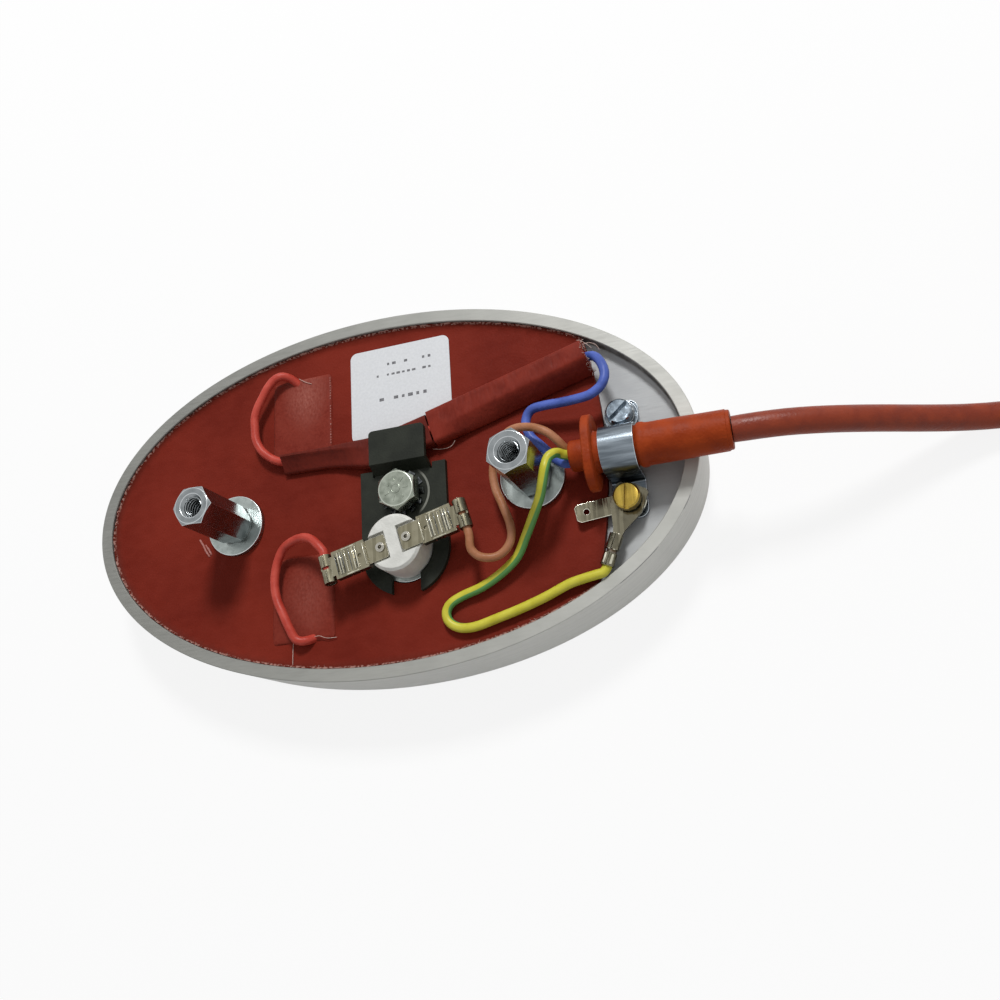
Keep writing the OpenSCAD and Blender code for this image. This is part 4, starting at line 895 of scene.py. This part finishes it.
def leadPatch(name, centreY, sizes, finish, replaced):
    columns, rows = 36, 44
    points, faces = [], []
    for level in (0, 1):
        for j in range(rows + 1):
            for i in range(columns + 1):
                u, v = 2 * i / columns - 1, 2 * j / rows - 1
                x, y = u * sizes["width"] / 2, v * sizes["length"] / 2
                cornerX = max(0, abs(x) - sizes["width"] / 2 + sizes["corner"])
                cornerY = max(0, abs(y) - sizes["length"] / 2 + sizes["corner"])
                over = math.hypot(cornerX, cornerY)
                if over > sizes["corner"]:
                    x -= math.copysign(cornerX * (1 - sizes["corner"] / over), x)
                    y -= math.copysign(cornerY * (1 - sizes["corner"] / over), y)
                side = min(sizes["width"] / 2 - abs(x), sizes["length"] / 2 - abs(y))
                edge = 1 - max(0, 1 - side / 0.9) ** 2
                dome = 0.5 + 0.16 * math.exp(-(x / 3.4) ** 2) + 0.12 * noise.noise(Vector((x, y, centreY)) / 4)
                z = sizes["thick"] * min(1, edge * dome + 0.12) if level else 0.02
                points.append((sizes["x"] + x, centreY + y, deckZ - 0.1 + z))
    each = (columns + 1) * (rows + 1)
    for j in range(rows):
        for i in range(columns):
            a = j * (columns + 1) + i
            faces.append((each + a, each + a + 1, each + a + columns + 2, each + a + columns + 1))
            faces.append((a, a + columns + 1, a + columns + 2, a + 1))
    border = [i for i in range(columns)] + [columns + j * (columns + 1) for j in range(rows)]
    border += [rows * (columns + 1) + i for i in range(columns, 0, -1)]
    border += [j * (columns + 1) for j in range(rows, 0, -1)]
    for a, b in zip(border, border[1:] + border[:1]):
        faces.append((a, b, each + b, each + a))
    setPiece(meshPiece(name, points, faces, 60), finish, "mat_silicone", replaced)


leadPatch("upperPatch", 25.7, patchSizes, "patch", "lead_patch_upper")
leadPatch("lowerPatch", -26.7, patchSizes, "patchPlain", "lead_patch_lower")


# Flattened sleeves: hollow, slightly rippled, open at both ends, each section falling off past its ridge
def sleeveOutline(ridge):
    q = 2 * ridge - 1
    right = [(1, 0.3), (1, 0.45), (1, 0.6), (0.98, 0.75), (0.93, 0.88), (0.87, 0.96), (0.8, 1)]
    top = [(0.8 + (q - 0.8) * i / 8, 1) for i in range(1, 9)] + [(q + (-0.8 - q) * i / 6, 1) for i in range(1, 7)]
    left = [(-x, up) for x, up in reversed(right[:-1])]
    under = [(-0.98, 0.15), (-0.93, 0.06), (-0.8, 0), (-0.4, 0), (0, 0), (0.4, 0), (0.8, 0), (0.93, 0.06),
             (0.98, 0.15)]
    return right + top + left + under


def flatSleeve(name, sections, rest, wall, ripple, bend, finish, replaced):
    steps = 5
    rows = smoothRoute([Vector((x, y, 0)) for x, y, *_ in sections], steps)
    sizes = smoothRoute([Vector((w, h, 0)) for _, _, w, h, *_ in sections], steps)
    roofs = smoothRoute([Vector((ridge, low, 0)) for *_, ridge, low in sections], steps)
    points = []
    for wallIn in (0, wall):
        for i, place in enumerate(rows):
            w, h = sizes[i].x, sizes[i].y
            ridge, low = roofs[i].x, min(roofs[i].y, 1)
            side = acrossOf(headingAt(rows, i))
            outline = sleeveOutline(ridge)
            for q, up in outline:
                fall = min(1, max(0, (1 + q) / 2 - ridge) / (1 - ridge))
                high = max(h * (1 - (1 - low) * fall ** bend), 2 * wall + 0.3)
                spot = place + side * (q * (w / 2 - wallIn))
                wave = ripple * noise.noise(spot / 3.5)
                z = rest + wallIn + (high - 2 * wallIn) * up + up * min(wave, 0.1)
                points.append(Vector((spot.x, spot.y, z)) + side * wave * 0.6)
    around, count = len(outline), len(rows)
    faces = ringFaces(count, around)
    faces += [tuple(reversed(f)) for f in ringFaces(count, around, False, count * around)]
    inner = count * around
    end = (count - 1) * around
    for k in range(around):
        j = (k + 1) % around
        faces.append((k, inner + k, inner + j, j))
        faces.append((end + j, inner + end + j, inner + end + k, end + k))
    return setPiece(meshPiece(name, points, faces, 50), finish, "sleeve_silicone", replaced)


sleeveWall = 0.4
narrowSections = [
    (-26.3, 11.5, 5.2, 4.3, 0.2, 0.28), (-19, 11.4, 5.2, 4.2, 0.2, 0.3), (-12, 11.3, 5.6, 4, 0.25, 0.36),
    (-6, 10.9, 7, 3.8, 0.3, 0.6), (0.2, 10.4, 8.6, 3.3, 0.4, 1), (4.6, 10.9, 9, 3.3, 0.5, 1),
    (9, 11.8, 9, 3.3, 0.5, 1), (13.2, 12.8, 9, 3.3, 0.5, 1), (17.6, 13.9, 9, 3.3, 0.5, 1)]
wideLows = (1, 0.6, 0.3, 0.25, 0.2, 0.2, 0.2, 0.2, 0.25)
wideSections = [(wideAxis(d).x, wideAxis(d).y, 10 - 1.6 * d / 45, wideHeight(d), 0.6, low)
                for d, low in ((wideSleeve["length"] * i / 8, low) for i, low in enumerate(wideLows))]
flatSleeve("narrowSleeve", narrowSections, wideSleeve["rest"], sleeveWall, 0.1, 0.75, "narrowSleeve",
           "narrow_sleeve")
flatSleeve("wideSleeve", wideSections, wideSleeve["rest"], sleeveWall, 0.2, 1.5, "sleeve", "wide_sleeve")
print("sleeves made")


# Gland: moulded collar, oblong flange, waist under the strap, rolled lip and tapered body
gland = {"bore": 3.3, "around": 64,
         "stations": ((0, 3.5, 3.5), (0.2, 3.75, 3.75), (0.6, 3.9, 3.9), (3.5, 3.9, 3.9), (3.85, 4.2, 4.2),
                      (4.0, 8.9, 6.1), (4.1, 9.4, 6.6), (4.35, 9.68, 6.88), (5.2, 9.7, 6.9), (6.05, 9.68, 6.88),
                      (6.3, 9.4, 6.6), (6.4, 8.9, 6.1), (6.5, 5.4, 5.4), (6.7, 5.2, 5.2), (7.2, 5.1, 5.1),
                      (7.6, 5.0, 5.0), (7.9, 4.9, 4.9), (16.6, 4.9, 4.9), (16.85, 5.1, 5.1), (17.2, 5.45, 5.45),
                      (17.8, 5.6, 5.6), (18.5, 5.5, 5.5), (19.0, 5.28, 5.28), (19.8, 5.22, 5.22),
                      (25, 5.2, 5.2), (31, 5.1, 5.1), (37.9, 4.98, 4.98), (38.0, 4.8, 4.8), (38.2, 4.78, 4.78),
                      (38.7, 4.74, 4.74), (38.9, 4.5, 4.5), (38.9, 3.55, 3.55), (38.6, 3.3, 3.3))}


def cableGland(sizes):
    around = sizes["around"]
    stations = list(sizes["stations"]) + [(s, sizes["bore"], sizes["bore"]) for s in (20, 1.5)]
    points = []
    for s, halfY, halfZ in stations:
        for k in range(around):
            a = 2 * math.pi * (k + 0.5) / around
            y = (halfY - halfZ) * math.copysign(1, math.cos(a)) + halfZ * math.cos(a)
            z = halfZ * math.sin(a)
            wave = 1
            if halfY == halfZ and halfY > 4.95:
                wave += 0.012 * noise.noise(Vector((s * 0.4, y * 0.5, z * 0.5)))
            points.append((mouth[0] + s, mouth[1] + y * wave, mouth[2] + z * wave))
    faces = [tuple(reversed(f)) for f in ringFaces(len(stations), around, True)]
    return meshPiece("cableGland", points, faces, 40)


setPiece(cableGland(gland), "gland", "gland_silicone", "cable_gland")


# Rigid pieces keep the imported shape, with their edges broken by a small bevel
rigid = {
    "clampBracket": ("clamp_bracket", "black", "clamp_black", 0.18),
    "bracketBolt": ("bracket_bolt", "bolt", "zinc_plate", 0.15),
    "switchBody": ("switch_body", "ceramic", "ceramic", 0.18),
    "switchCap": ("switch_cap", "washer", "cap_aluminium", 0.08),
    "switchTerminalLeft": ("switch_terminal_left", "terminal", "tinned_brass", 0.06),
    "switchTerminalRight": ("switch_terminal_right", "terminal", "tinned_brass", 0.06),
    "terminalRivets": ("terminal_rivets", "copper", "tinned_copper", 0.1),
    "receptacleLeft": ("receptacle_left", "terminal", "tinned_brass", 0.09),
    "receptacleRight": ("receptacle_right", "terminal", "tinned_brass", 0.09),
    "standoffLeft": ("standoff_left", "zinc", "zinc_plate", 0.18),
    "standoffRight": ("standoff_right", "zinc", "zinc_plate", 0.18),
    "standoffWasherLeft": ("standoff_washer_left", "washer", "zinc_plate", 0.15),
    "standoffWasherRight": ("standoff_washer_right", "washer", "zinc_plate", 0.15),
    "cableStrap": ("cable_strap", "strap", "strap_zinc", 0.12),
    "strapScrew": ("strap_screw", "screw", "strap_zinc", 0.12),
    "strapSpringWasher": ("strap_spring_washer", "toothed", "zinc_plate", 0.08),
    "strapFlatWasher": ("strap_flat_washer", "strap", "zinc_plate", 0.1),
    "earthScrew": ("earth_screw", "brass", "plain_brass", 0.12),
    "earthTab": ("earth_tab", "olive", "tinned_brass", 0.14),
    "earthRingTerminal": ("earth_ring_terminal", "olive", "tinned_brass", 0.12),
    "endFerrules": ("end_ferrules", "copper", "tinned_copper", 0.08),
    "buttSplice": ("butt_splice", "copper", "tinned_copper", 0.05),
    "ratingLabel": ("rating_label", "label", "label_film", 0.0),
}


def softEdged(name, node, finish, bevel):
    shape = bmesh.new()
    shape.from_mesh(nodes[node].data)
    bmesh.ops.remove_doubles(shape, verts=shape.verts, dist=2e-6)
    bmesh.ops.dissolve_limit(shape, angle_limit=math.radians(0.6), verts=shape.verts, edges=shape.edges)
    mesh = bpy.data.meshes.new(name)
    shape.to_mesh(mesh)
    shape.free()
    mesh.shade_smooth()
    mesh.set_sharp_from_angle(angle=math.radians(22))
    piece = bpy.data.objects.new(name, mesh)
    scene.collection.objects.link(piece)
    if bevel:
        rounding = piece.modifiers.new("rounding", "BEVEL")
        rounding.width = bevel * mm
        rounding.segments = 2
        rounding.limit_method = "ANGLE"
        rounding.angle_limit = math.radians(22)
        rounding.harden_normals = True
        rounding.material = 1
        mesh.materials.append(finishes[finish])
        mesh.materials.append(finishes[finish])
        bakeModifiers(piece)
        # Bevel faces are marked in the edge attribute, which the metal finishes paint pale as a painted highlight
        bevelHighlight = piece.data.attributes.new("edge", "FLOAT", "FACE")
        for face in piece.data.polygons:
            bevelHighlight.data[face.index].value = face.material_index
            face.material_index = 0
    return piece


for name, (node, finish, slotName, bevel) in rigid.items():
    setPiece(softEdged(name, node, finish, bevel), finish, slotName, node)
print("rigid pieces made:", len(rigid))


# Geometry Nodes: an empty tree with named inputs, and the piece that it grows
def growthTree(name, sockets):
    tree = bpy.data.node_groups.new(name, "GeometryNodeTree")
    tree.interface.new_socket("Geometry", in_out="INPUT", socket_type="NodeSocketGeometry")
    for socket, kind in sockets.items():
        tree.interface.new_socket(socket, in_out="INPUT", socket_type="NodeSocket" + kind)
    tree.interface.new_socket("Finish", in_out="INPUT", socket_type="NodeSocketMaterial")
    tree.interface.new_socket("Geometry", in_out="OUTPUT", socket_type="NodeSocketGeometry")
    return tree, addNode(tree, "NodeGroupInput").outputs


# Ends a tree: real geometry with its material
def closeTree(tree, given, grown):
    real = addNode(tree, "GeometryNodeRealizeInstances", links={"Geometry": grown})
    coated = addNode(tree, "GeometryNodeSetMaterial", links={"Geometry": real.outputs[0],
                                                             "Material": given["Finish"]})
    addNode(tree, "NodeGroupOutput", links={"Geometry": coated.outputs[0]})
    return tree


def grow(name, tree, sizes, finish, base=None):
    piece = bpy.data.objects.new(name, base or bpy.data.meshes.new(name))
    scene.collection.objects.link(piece)
    modifier = piece.modifiers.new("growth", "NODES")
    modifier.node_group = tree
    for socket in tree.interface.items_tree:
        if socket.in_out == "INPUT" and socket.name in sizes:
            modifier[socket.identifier] = sizes[socket.name]
        if socket.in_out == "INPUT" and socket.name == "Finish":
            modifier[socket.identifier] = finishes[finish]
    bakeModifiers(piece)
    return piece


# Ring with bars set round it: a toothed washer, or marks pressed in a bolt's head
def toothRingTree():
    tree, given = growthTree("toothRing", {"Count": "Int", "Bar Radius": "Float", "Bar Size": "Vector",
                                           "Twist": "Float", "Ring Radius": "Float", "Ring Width": "Float",
                                           "Ring Height": "Float", "Place": "Vector"})
    index = addNode(tree, "GeometryNodeInputIndex").outputs[0]
    share = addNode(tree, "ShaderNodeMath", links={0: index, 1: given["Count"]}, operation="DIVIDE").outputs[0]
    angle = addNode(tree, "ShaderNodeMath", {1: 2 * math.pi}, {0: share}, operation="MULTIPLY").outputs[0]
    cosine = addNode(tree, "ShaderNodeMath", links={0: angle}, operation="COSINE").outputs[0]
    sine = addNode(tree, "ShaderNodeMath", links={0: angle}, operation="SINE").outputs[0]
    way = addNode(tree, "ShaderNodeCombineXYZ", links={0: cosine, 1: sine}).outputs[0]
    spot = addNode(tree, "ShaderNodeVectorMath", links={0: way, "Scale": given["Bar Radius"]},
                   operation="SCALE").outputs[0]
    points = addNode(tree, "GeometryNodePoints", links={"Count": given["Count"], "Position": spot}).outputs[0]
    bar = addNode(tree, "GeometryNodeMeshCube", links={"Size": given["Bar Size"]}).outputs[0]
    facing = addNode(tree, "ShaderNodeCombineXYZ", links={0: given["Twist"], 2: angle}).outputs[0]
    bars = addNode(tree, "GeometryNodeInstanceOnPoints",
                   links={"Points": points, "Instance": bar, "Rotation": facing}).outputs[0]
    path = addNode(tree, "GeometryNodeCurvePrimitiveCircle", {"Resolution": 64},
                   {"Radius": given["Ring Radius"]}).outputs[0]
    section = addNode(tree, "GeometryNodeCurvePrimitiveQuadrilateral",
                      links={"Width": given["Ring Width"], "Height": given["Ring Height"]}).outputs[0]
    ring = addNode(tree, "GeometryNodeCurveToMesh", links={"Curve": path, "Profile Curve": section}).outputs[0]
    both = addNode(tree, "GeometryNodeJoinGeometry")
    tree.links.new(bars, both.inputs[0])
    tree.links.new(ring, both.inputs[0])
    placed = addNode(tree, "GeometryNodeTransform", links={"Geometry": both.outputs[0],
                                                           "Translation": given["Place"]})
    return closeTree(tree, given, placed.outputs[0])


# Fibres that stand out of a cut edge
def fibreTree():
    tree, given = growthTree("edgeFibres", {"Count": "Int", "Length": "Float", "Thickness": "Float",
                                            "Lean": "Float", "Seed": "Int"})
    path = addNode(tree, "GeometryNodeMeshToCurve", links={0: given["Geometry"]}).outputs[0]
    spread = addNode(tree, "GeometryNodeCurveToPoints", links={"Curve": path, "Count": given["Count"]}).outputs[0]
    strand = addNode(tree, "GeometryNodeCurveQuadraticBezier", {
        "Resolution": 4, "Start": (0, 0, -0.15), "Middle": (0.15, 0, 0.5), "End": (0.5, 0.1, 0.85)}).outputs[0]
    section = addNode(tree, "GeometryNodeCurvePrimitiveCircle", {"Resolution": 3},
                      {"Radius": given["Thickness"]}).outputs[0]
    thread = addNode(tree, "GeometryNodeCurveToMesh", {"Fill Caps": True},
                     {"Curve": strand, "Profile Curve": section}).outputs[0]
    lean = addNode(tree, "ShaderNodeCombineXYZ", {2: math.pi}, {0: given["Lean"], 1: given["Lean"]}).outputs[0]
    leanBack = addNode(tree, "ShaderNodeVectorMath", {"Scale": -1.0}, {0: lean}, operation="SCALE").outputs[0]
    turn = addNode(tree, "FunctionNodeRandomValue", {}, {0: leanBack, 1: lean, "Seed": given["Seed"]},
                   data_type="FLOAT_VECTOR").outputs[0]
    size = addNode(tree, "FunctionNodeRandomValue", {2: 0.25, 3: 1.0}, {"Seed": given["Seed"]},
                   data_type="FLOAT").outputs[1]
    long = addNode(tree, "ShaderNodeMath", links={0: size, 1: given["Length"]}, operation="MULTIPLY").outputs[0]
    wide = addNode(tree, "ShaderNodeCombineXYZ", links={0: long, 1: long, 2: long}).outputs[0]
    strands = addNode(tree, "GeometryNodeInstanceOnPoints",
                      links={"Points": spread, "Instance": thread, "Rotation": turn, "Scale": wide}).outputs[0]
    return closeTree(tree, given, strands)


# Thread turned inside a standoff's bore
def threadTree():
    tree, given = growthTree("boreThread", {"Radius": "Float", "Depth": "Float", "Turns": "Float",
                                            "Ridge": "Float", "Place": "Vector"})
    path = addNode(tree, "GeometryNodeCurveSpiral", {"Resolution": 36},
                   {"Rotations": given["Turns"], "Start Radius": given["Radius"],
                    "End Radius": given["Radius"], "Height": given["Depth"]}).outputs[0]
    section = addNode(tree, "GeometryNodeCurvePrimitiveCircle", {"Resolution": 4},
                      {"Radius": given["Ridge"]}).outputs[0]
    ridge = addNode(tree, "GeometryNodeCurveToMesh", {"Fill Caps": True},
                    {"Curve": path, "Profile Curve": section}).outputs[0]
    placed = addNode(tree, "GeometryNodeTransform", links={"Geometry": ridge, "Translation": given["Place"]})
    return closeTree(tree, given, placed.outputs[0])


# Rows of plain dashes that stand for print
def dashTree():
    tree, given = growthTree("labelDashes", {"Columns": "Int", "Rows": "Int", "Width": "Float",
                                             "Height": "Float", "Dash": "Vector", "Place": "Vector", "Seed": "Int"})
    net = addNode(tree, "GeometryNodeMeshGrid", links={"Size X": given["Width"], "Size Y": given["Height"],
                                                       "Vertices X": given["Columns"],
                                                       "Vertices Y": given["Rows"]}).outputs[0]
    points = addNode(tree, "GeometryNodeMeshToPoints", {"Radius": 0.0001}, {"Mesh": net}).outputs[0]
    chance = addNode(tree, "FunctionNodeRandomValue", {"Probability": 0.72}, {"Seed": given["Seed"]},
                     data_type="BOOLEAN").outputs[3]
    dash = addNode(tree, "GeometryNodeMeshCube", links={"Size": given["Dash"]}).outputs[0]
    size = addNode(tree, "FunctionNodeRandomValue", {0: (0.45, 0.9, 1), 1: (1.1, 1.1, 1)},
                   {"Seed": given["Seed"]}, data_type="FLOAT_VECTOR").outputs[0]
    dashes = addNode(tree, "GeometryNodeInstanceOnPoints",
                     links={"Points": points, "Selection": chance, "Instance": dash, "Scale": size}).outputs[0]
    placed = addNode(tree, "GeometryNodeTransform", links={"Geometry": dashes, "Translation": given["Place"]})
    return closeTree(tree, given, placed.outputs[0])


toothRing, edgeFibres, boreThread, labelDashes = toothRingTree(), fibreTree(), threadTree(), dashTree()


def inMetres(*sizes):
    return tuple(s * mm for s in sizes)


lockWashers = {
    "bracketLockWasher": ("bracket_lock_washer", (8.9, -2.4, 19.8), 12, 5.3, (1.7, 1.7, 0.45), 4.0, 1.7, 0.6,
                          "toothed"),
    "earthLockWasher": ("earth_lock_washer", (68.2, -13.4, 19.75), 12, 2.9, (0.5, 0.8, 0.28), 2.5, 0.8, 0.5,
                        "greyTooth"),
    "earthBaseWasher": ("earth_base_washer", (68.2, -13.4, 17.15), 12, 3.6, (1.1, 1.1, 0.34), 2.7, 1.15, 0.5,
                        "greyTooth"),
}
for name, (node, place, count, barRadius, bar, ringRadius, ringWidth, ringHeight, finish) in lockWashers.items():
    washer = grow(name, toothRing, {
        "Count": count, "Bar Radius": barRadius * mm, "Bar Size": inMetres(*bar), "Twist": 0.6,
        "Ring Radius": ringRadius * mm, "Ring Width": ringWidth * mm, "Ring Height": ringHeight * mm,
        "Place": inMetres(*place)}, finish)
    setPiece(washer, finish, "zinc_plate", node)

# Marks on the two receptacles, as places out from their start: raised ribs in near-white tin as painted highlights,
# dark lines as painted shade in the grooves, and near-white lines along the folded sides as painted highlights
marks = {"start": 7.6, "half": 2.95, "rib": 27.38, "grooveShade": 27.2, "fold": 27.02, "foldSide": 3.45}
ribPlaces = (0.5, 2.7, 3.6, 5.7, 7.1, 7.8)
groovePlaces = (3.15, 4.65, 6.6, 7.45, 8.6)


def receptacleLine(name, turn, first, last, height, size, finish):
    line = [atTerminal(turn, marks["start"] + first[0] + (last[0] - first[0]) * k / 3,
                       first[1] + (last[1] - first[1]) * k / 3) for k in range(4)]
    for spot in line:
        spot.z = height
    setPiece(tube(name, line, size, 1, 8), finish, "tinned_brass")


for side, turn in (("Left", terminalTurn + 180), ("Right", terminalTurn)):
    half = marks["half"]
    for i, place in enumerate(ribPlaces):
        receptacleLine("rib" + side + str(i + 1), turn, (place, -half), (place, half), marks["rib"], 0.26, "crimp")
    # Dark lines of painted shade where the grooves lie
    for i, place in enumerate(groovePlaces):
        receptacleLine("grooveShade" + side + str(i + 1), turn, (place, -half), (place, half), marks["grooveShade"], 0.24,
                       "toothed")
    for way in (-1, 1):
        edge = marks["foldSide"] * way
        receptacleLine("fold" + side + ("Near" if way < 0 else "Far"), turn, (0.3, edge), (9.1, edge), marks["fold"],
                       0.4, "crimp")

boltMarks = grow("boltMarks", toothRing, {
    "Count": 7, "Bar Radius": 2.75 * mm, "Bar Size": inMetres(1.4, 0.42, 0.24), "Twist": 0.0,
    "Ring Radius": 1.2 * mm, "Ring Width": 0.3 * mm, "Ring Height": 0.24 * mm,
    "Place": inMetres(8.9, -2.4, 24.4)}, "bolt")
setPiece(boltMarks, "bolt", "zinc_plate")

for name, spot in (("threadLeft", postLeft), ("threadRight", postRight)):
    ridge = grow(name, boreThread, {"Radius": 2.5 * mm, "Depth": 11 * mm, "Turns": 11.0, "Ridge": 0.3 * mm,
                                    "Place": inMetres(spot[0], spot[1], 28.4)}, "zinc")
    setPiece(ridge, "zinc", "zinc_plate")

rows = {"labelRowTop": (36.6, 9, 14.0, (1.15, 0.75, 0.03), 3), "labelRowSecond": (33.4, 12, 17.0, (1.1, 0.6, 0.03), 5),
        "labelRowThird": (26.2, 8, 15.0, (1.4, 0.9, 0.03), 9)}
for name, (y, columns, width, dash, seed) in rows.items():
    print_ = grow(name, labelDashes, {"Columns": columns, "Rows": 1, "Width": width * mm, "Height": 0.0,
                                      "Dash": inMetres(*dash), "Place": inMetres(10.5, y, 17.862),
                                      "Seed": seed}, "ink")
    setPiece(print_, "ink", "label_film")


bloomDots = grow("bloomDots", labelDashes, {
    "Columns": 1, "Rows": 26, "Width": 0.0, "Height": 19.5 * mm, "Dash": inMetres(0.32, 0.4, 0.03),
    "Place": inMetres(-12.6, 26.2, 18.06), "Seed": 12}, "bloom")
setPiece(bloomDots, "bloom", "mat_silicone")


def edgeLoop(name, points, closed=True):
    mesh = bpy.data.meshes.new(name)
    count = len(points)
    edges = [(i, (i + 1) % count) for i in range(count if closed else count - 1)]
    mesh.from_pydata([Vector(p) * mm for p in points], edges, [])
    return mesh


frayed = [p for k, p in enumerate(matOutline) if not matReach(2 * math.pi * k / mat["around"])[1]]
matEdge = edgeLoop("matEdge", [(x * 0.9985, y * 0.9985, deckZ + 0.45) for x, y in frayed], False)
matFibres = grow("matFibres", edgeFibres, {"Count": 560, "Length": 0.9 * mm, "Thickness": 0.06, "Lean": 1.1,
                                           "Seed": 4}, "fibre", matEdge)
setPiece(matFibres, "fibre", "mat_silicone")

openEnd = wideAxis(wideSleeve["length"] - 0.1)
openAcross = acrossOf(wideAxis(45) - wideAxis(44))
openLoop = []
for q, up in sleeveOutline(0.6):
    fall = max(0, (1 + q) / 2 - 0.6) / 0.4
    openLoop.append(openEnd + openAcross * q * 4.0 + Vector((0, 0, 0.2 + 5.6 * (1 - 0.75 * fall ** 1.5) * up - 3.0)))
openFibres = grow("openEndFibres", edgeFibres, {"Count": 150, "Length": 1.1 * mm, "Thickness": 0.07, "Lean": 1.3,
                                                "Seed": 8}, "fibre", edgeLoop("openEnd", openLoop))
setPiece(openFibres, "fibre", "sleeve_silicone")


# Loose glass threads at the cut ends, each along a few points
threads = {
    "threadAtClamp": [(17.6, 8.8, 18.6), (19.6, 8.5, 18.4), (21.5, 8.5, 18.3), (23.0, 8.9, 18.5), (24.2, 10.0, 19)],
    "threadAtOpenEndUpper": [(59.6, 30.0, 22), (61.1, 29.1, 22.4), (62.3, 27.9, 22.6), (63.3, 26.9, 22)],
    "threadAtOpenEndMiddle": [(61.2, 27.5, 23.6), (63.1, 27.6, 24), (64.8, 26.7, 23.8), (65.5, 25.4, 23)],
    "threadAtOpenEndLower": [(58.8, 24.9, 20.4), (59.7, 23.3, 20), (60.6, 21.9, 19.6), (61.7, 21.4, 19.2)],
    "threadAtUpperPatch": [(-22.3, 37.5, 18.4), (-20.2, 36.0, 18.6), (-18.2, 35.1, 18.3)],
    "threadAtLowerPatch": [(-18.2, -37.4, 18.3), (-16.5, -37.3, 18.6), (-14.3, -38.1, 18.4), (-11.6, -38.1, 18.1)],
    "threadAtCrease": [(-24.4, -38.2, 18.0), (-24.5, -41, 18.1), (-24.6, -44.3, 18.0)],
}
for name, points in threads.items():
    setPiece(tube(name, points, 0.16, 4, 6), "fibre", "sleeve_silicone")

# Small folds of the mat that show beside the left washer, paler than the mat: painted highlight on their ridges
folds = {
    "matFoldOuter": [(-54.4, -5.4, 17.5), (-53.2, -7.1, 17.7), (-52.2, -9.0, 17.7), (-51.0, -10.9, 17.5)],
    "matFoldInner": [(-52.4, -7.2, 17.5), (-51.2, -8.9, 17.7), (-50.4, -10.4, 17.5)],
}
for name, points in folds.items():
    setPiece(tube(name, points, 0.6, 4, 10), "bloom", "mat_silicone")

# Dark stretches along the rim's outer edge, painted shade where the rim top meets the outer wall: start and end round
# the oval, in degrees
paintedEdgeShade = {"shadedEdgeLong": (-42.5, -31.5), "shadedEdgeShort": (-21, -17)}
for name, (start, end) in paintedEdgeShade.items():
    turns = [math.radians(start + (end - start) * k / 8) for k in range(9)]
    line = [((plate["length"] / 2 - 0.12) * math.cos(a), (plate["width"] / 2 - 0.12) * math.sin(a), 19.06) for a in turns]
    setPiece(tube(name, line, 0.16, 2, 6), "ink", "plate_aluminium")
print("small pieces made")


# Bench, daylight from a large window behind the plate, and a white surround
studio = {"floor": 3.0, "sky": 0.36, "windowPlace": (0.135, 0.74, 0.9), "windowSize": 0.22, "windowPower": 9.3,
          "floorGlow": 0.86}


def makeStudio(sizes):
    half = sizes["floor"] / 2
    bench = meshPiece("bench", [(x * half * 1000, y * half * 1000, -0.3) for x, y in
                                ((-1, -1), (1, -1), (1, 1), (-1, 1))], [(0, 1, 2, 3)])
    material = bpy.data.materials.new("paleBench")
    material.use_nodes = True
    tree = material.node_tree
    tree.nodes.clear()
    seen = addNode(tree, "ShaderNodeLightPath")
    tone = between(tree, seen.outputs["Is Diffuse Ray"], "#f6f6f6", "#d4d4d4")
    lit = addNode(tree, "ShaderNodeBsdfDiffuse", links={"Color": tone}).outputs[0]
    glow = addNode(tree, "ShaderNodeEmission", {"Strength": 1.0}).outputs[0]
    direct = addNode(tree, "ShaderNodeMath", links={0: seen.outputs["Is Camera Ray"], 1: seen.outputs["Is Glossy Ray"]},
                     operation="MAXIMUM").outputs[0]
    share = addNode(tree, "ShaderNodeMath", {1: sizes["floorGlow"]}, {0: direct}, operation="MULTIPLY").outputs[0]
    both = addNode(tree, "ShaderNodeMixShader", links={0: share, 1: lit, 2: glow}).outputs[0]
    addNode(tree, "ShaderNodeOutputMaterial", links={"Surface": both})
    bench.data.materials.append(material)

    world = bpy.data.worlds.new("surround")
    world.use_nodes = True
    scene.world = world
    tree = world.node_tree
    tree.nodes.clear()
    seen = addNode(tree, "ShaderNodeLightPath")
    direct = addNode(tree, "ShaderNodeMath", links={0: seen.outputs["Is Camera Ray"], 1: seen.outputs["Is Glossy Ray"]},
                     operation="MAXIMUM").outputs[0]
    direct = addNode(tree, "ShaderNodeMath", links={0: direct, 1: seen.outputs["Is Transmission Ray"]},
                     operation="MAXIMUM").outputs[0]
    power = addNode(tree, "ShaderNodeMapRange", {"To Min": sizes["sky"], "To Max": 1.0}, {"Value": direct}).outputs[0]
    sky = addNode(tree, "ShaderNodeBackground", {"Color": (1, 1, 1, 1)}, {"Strength": power}).outputs[0]
    addNode(tree, "ShaderNodeOutputWorld", links={"Surface": sky})

    window = bpy.data.lights.new("window", "AREA")
    window.energy = sizes["windowPower"]
    window.size = sizes["windowSize"]
    lamp = bpy.data.objects.new("window", window)
    lamp.location = sizes["windowPlace"]
    lamp.rotation_euler = (-Vector(sizes["windowPlace"])).to_track_quat("-Z", "Y").to_euler()
    scene.collection.objects.link(lamp)
    scene.view_settings.view_transform = "Standard"


makeStudio(studio)
print("studio made")
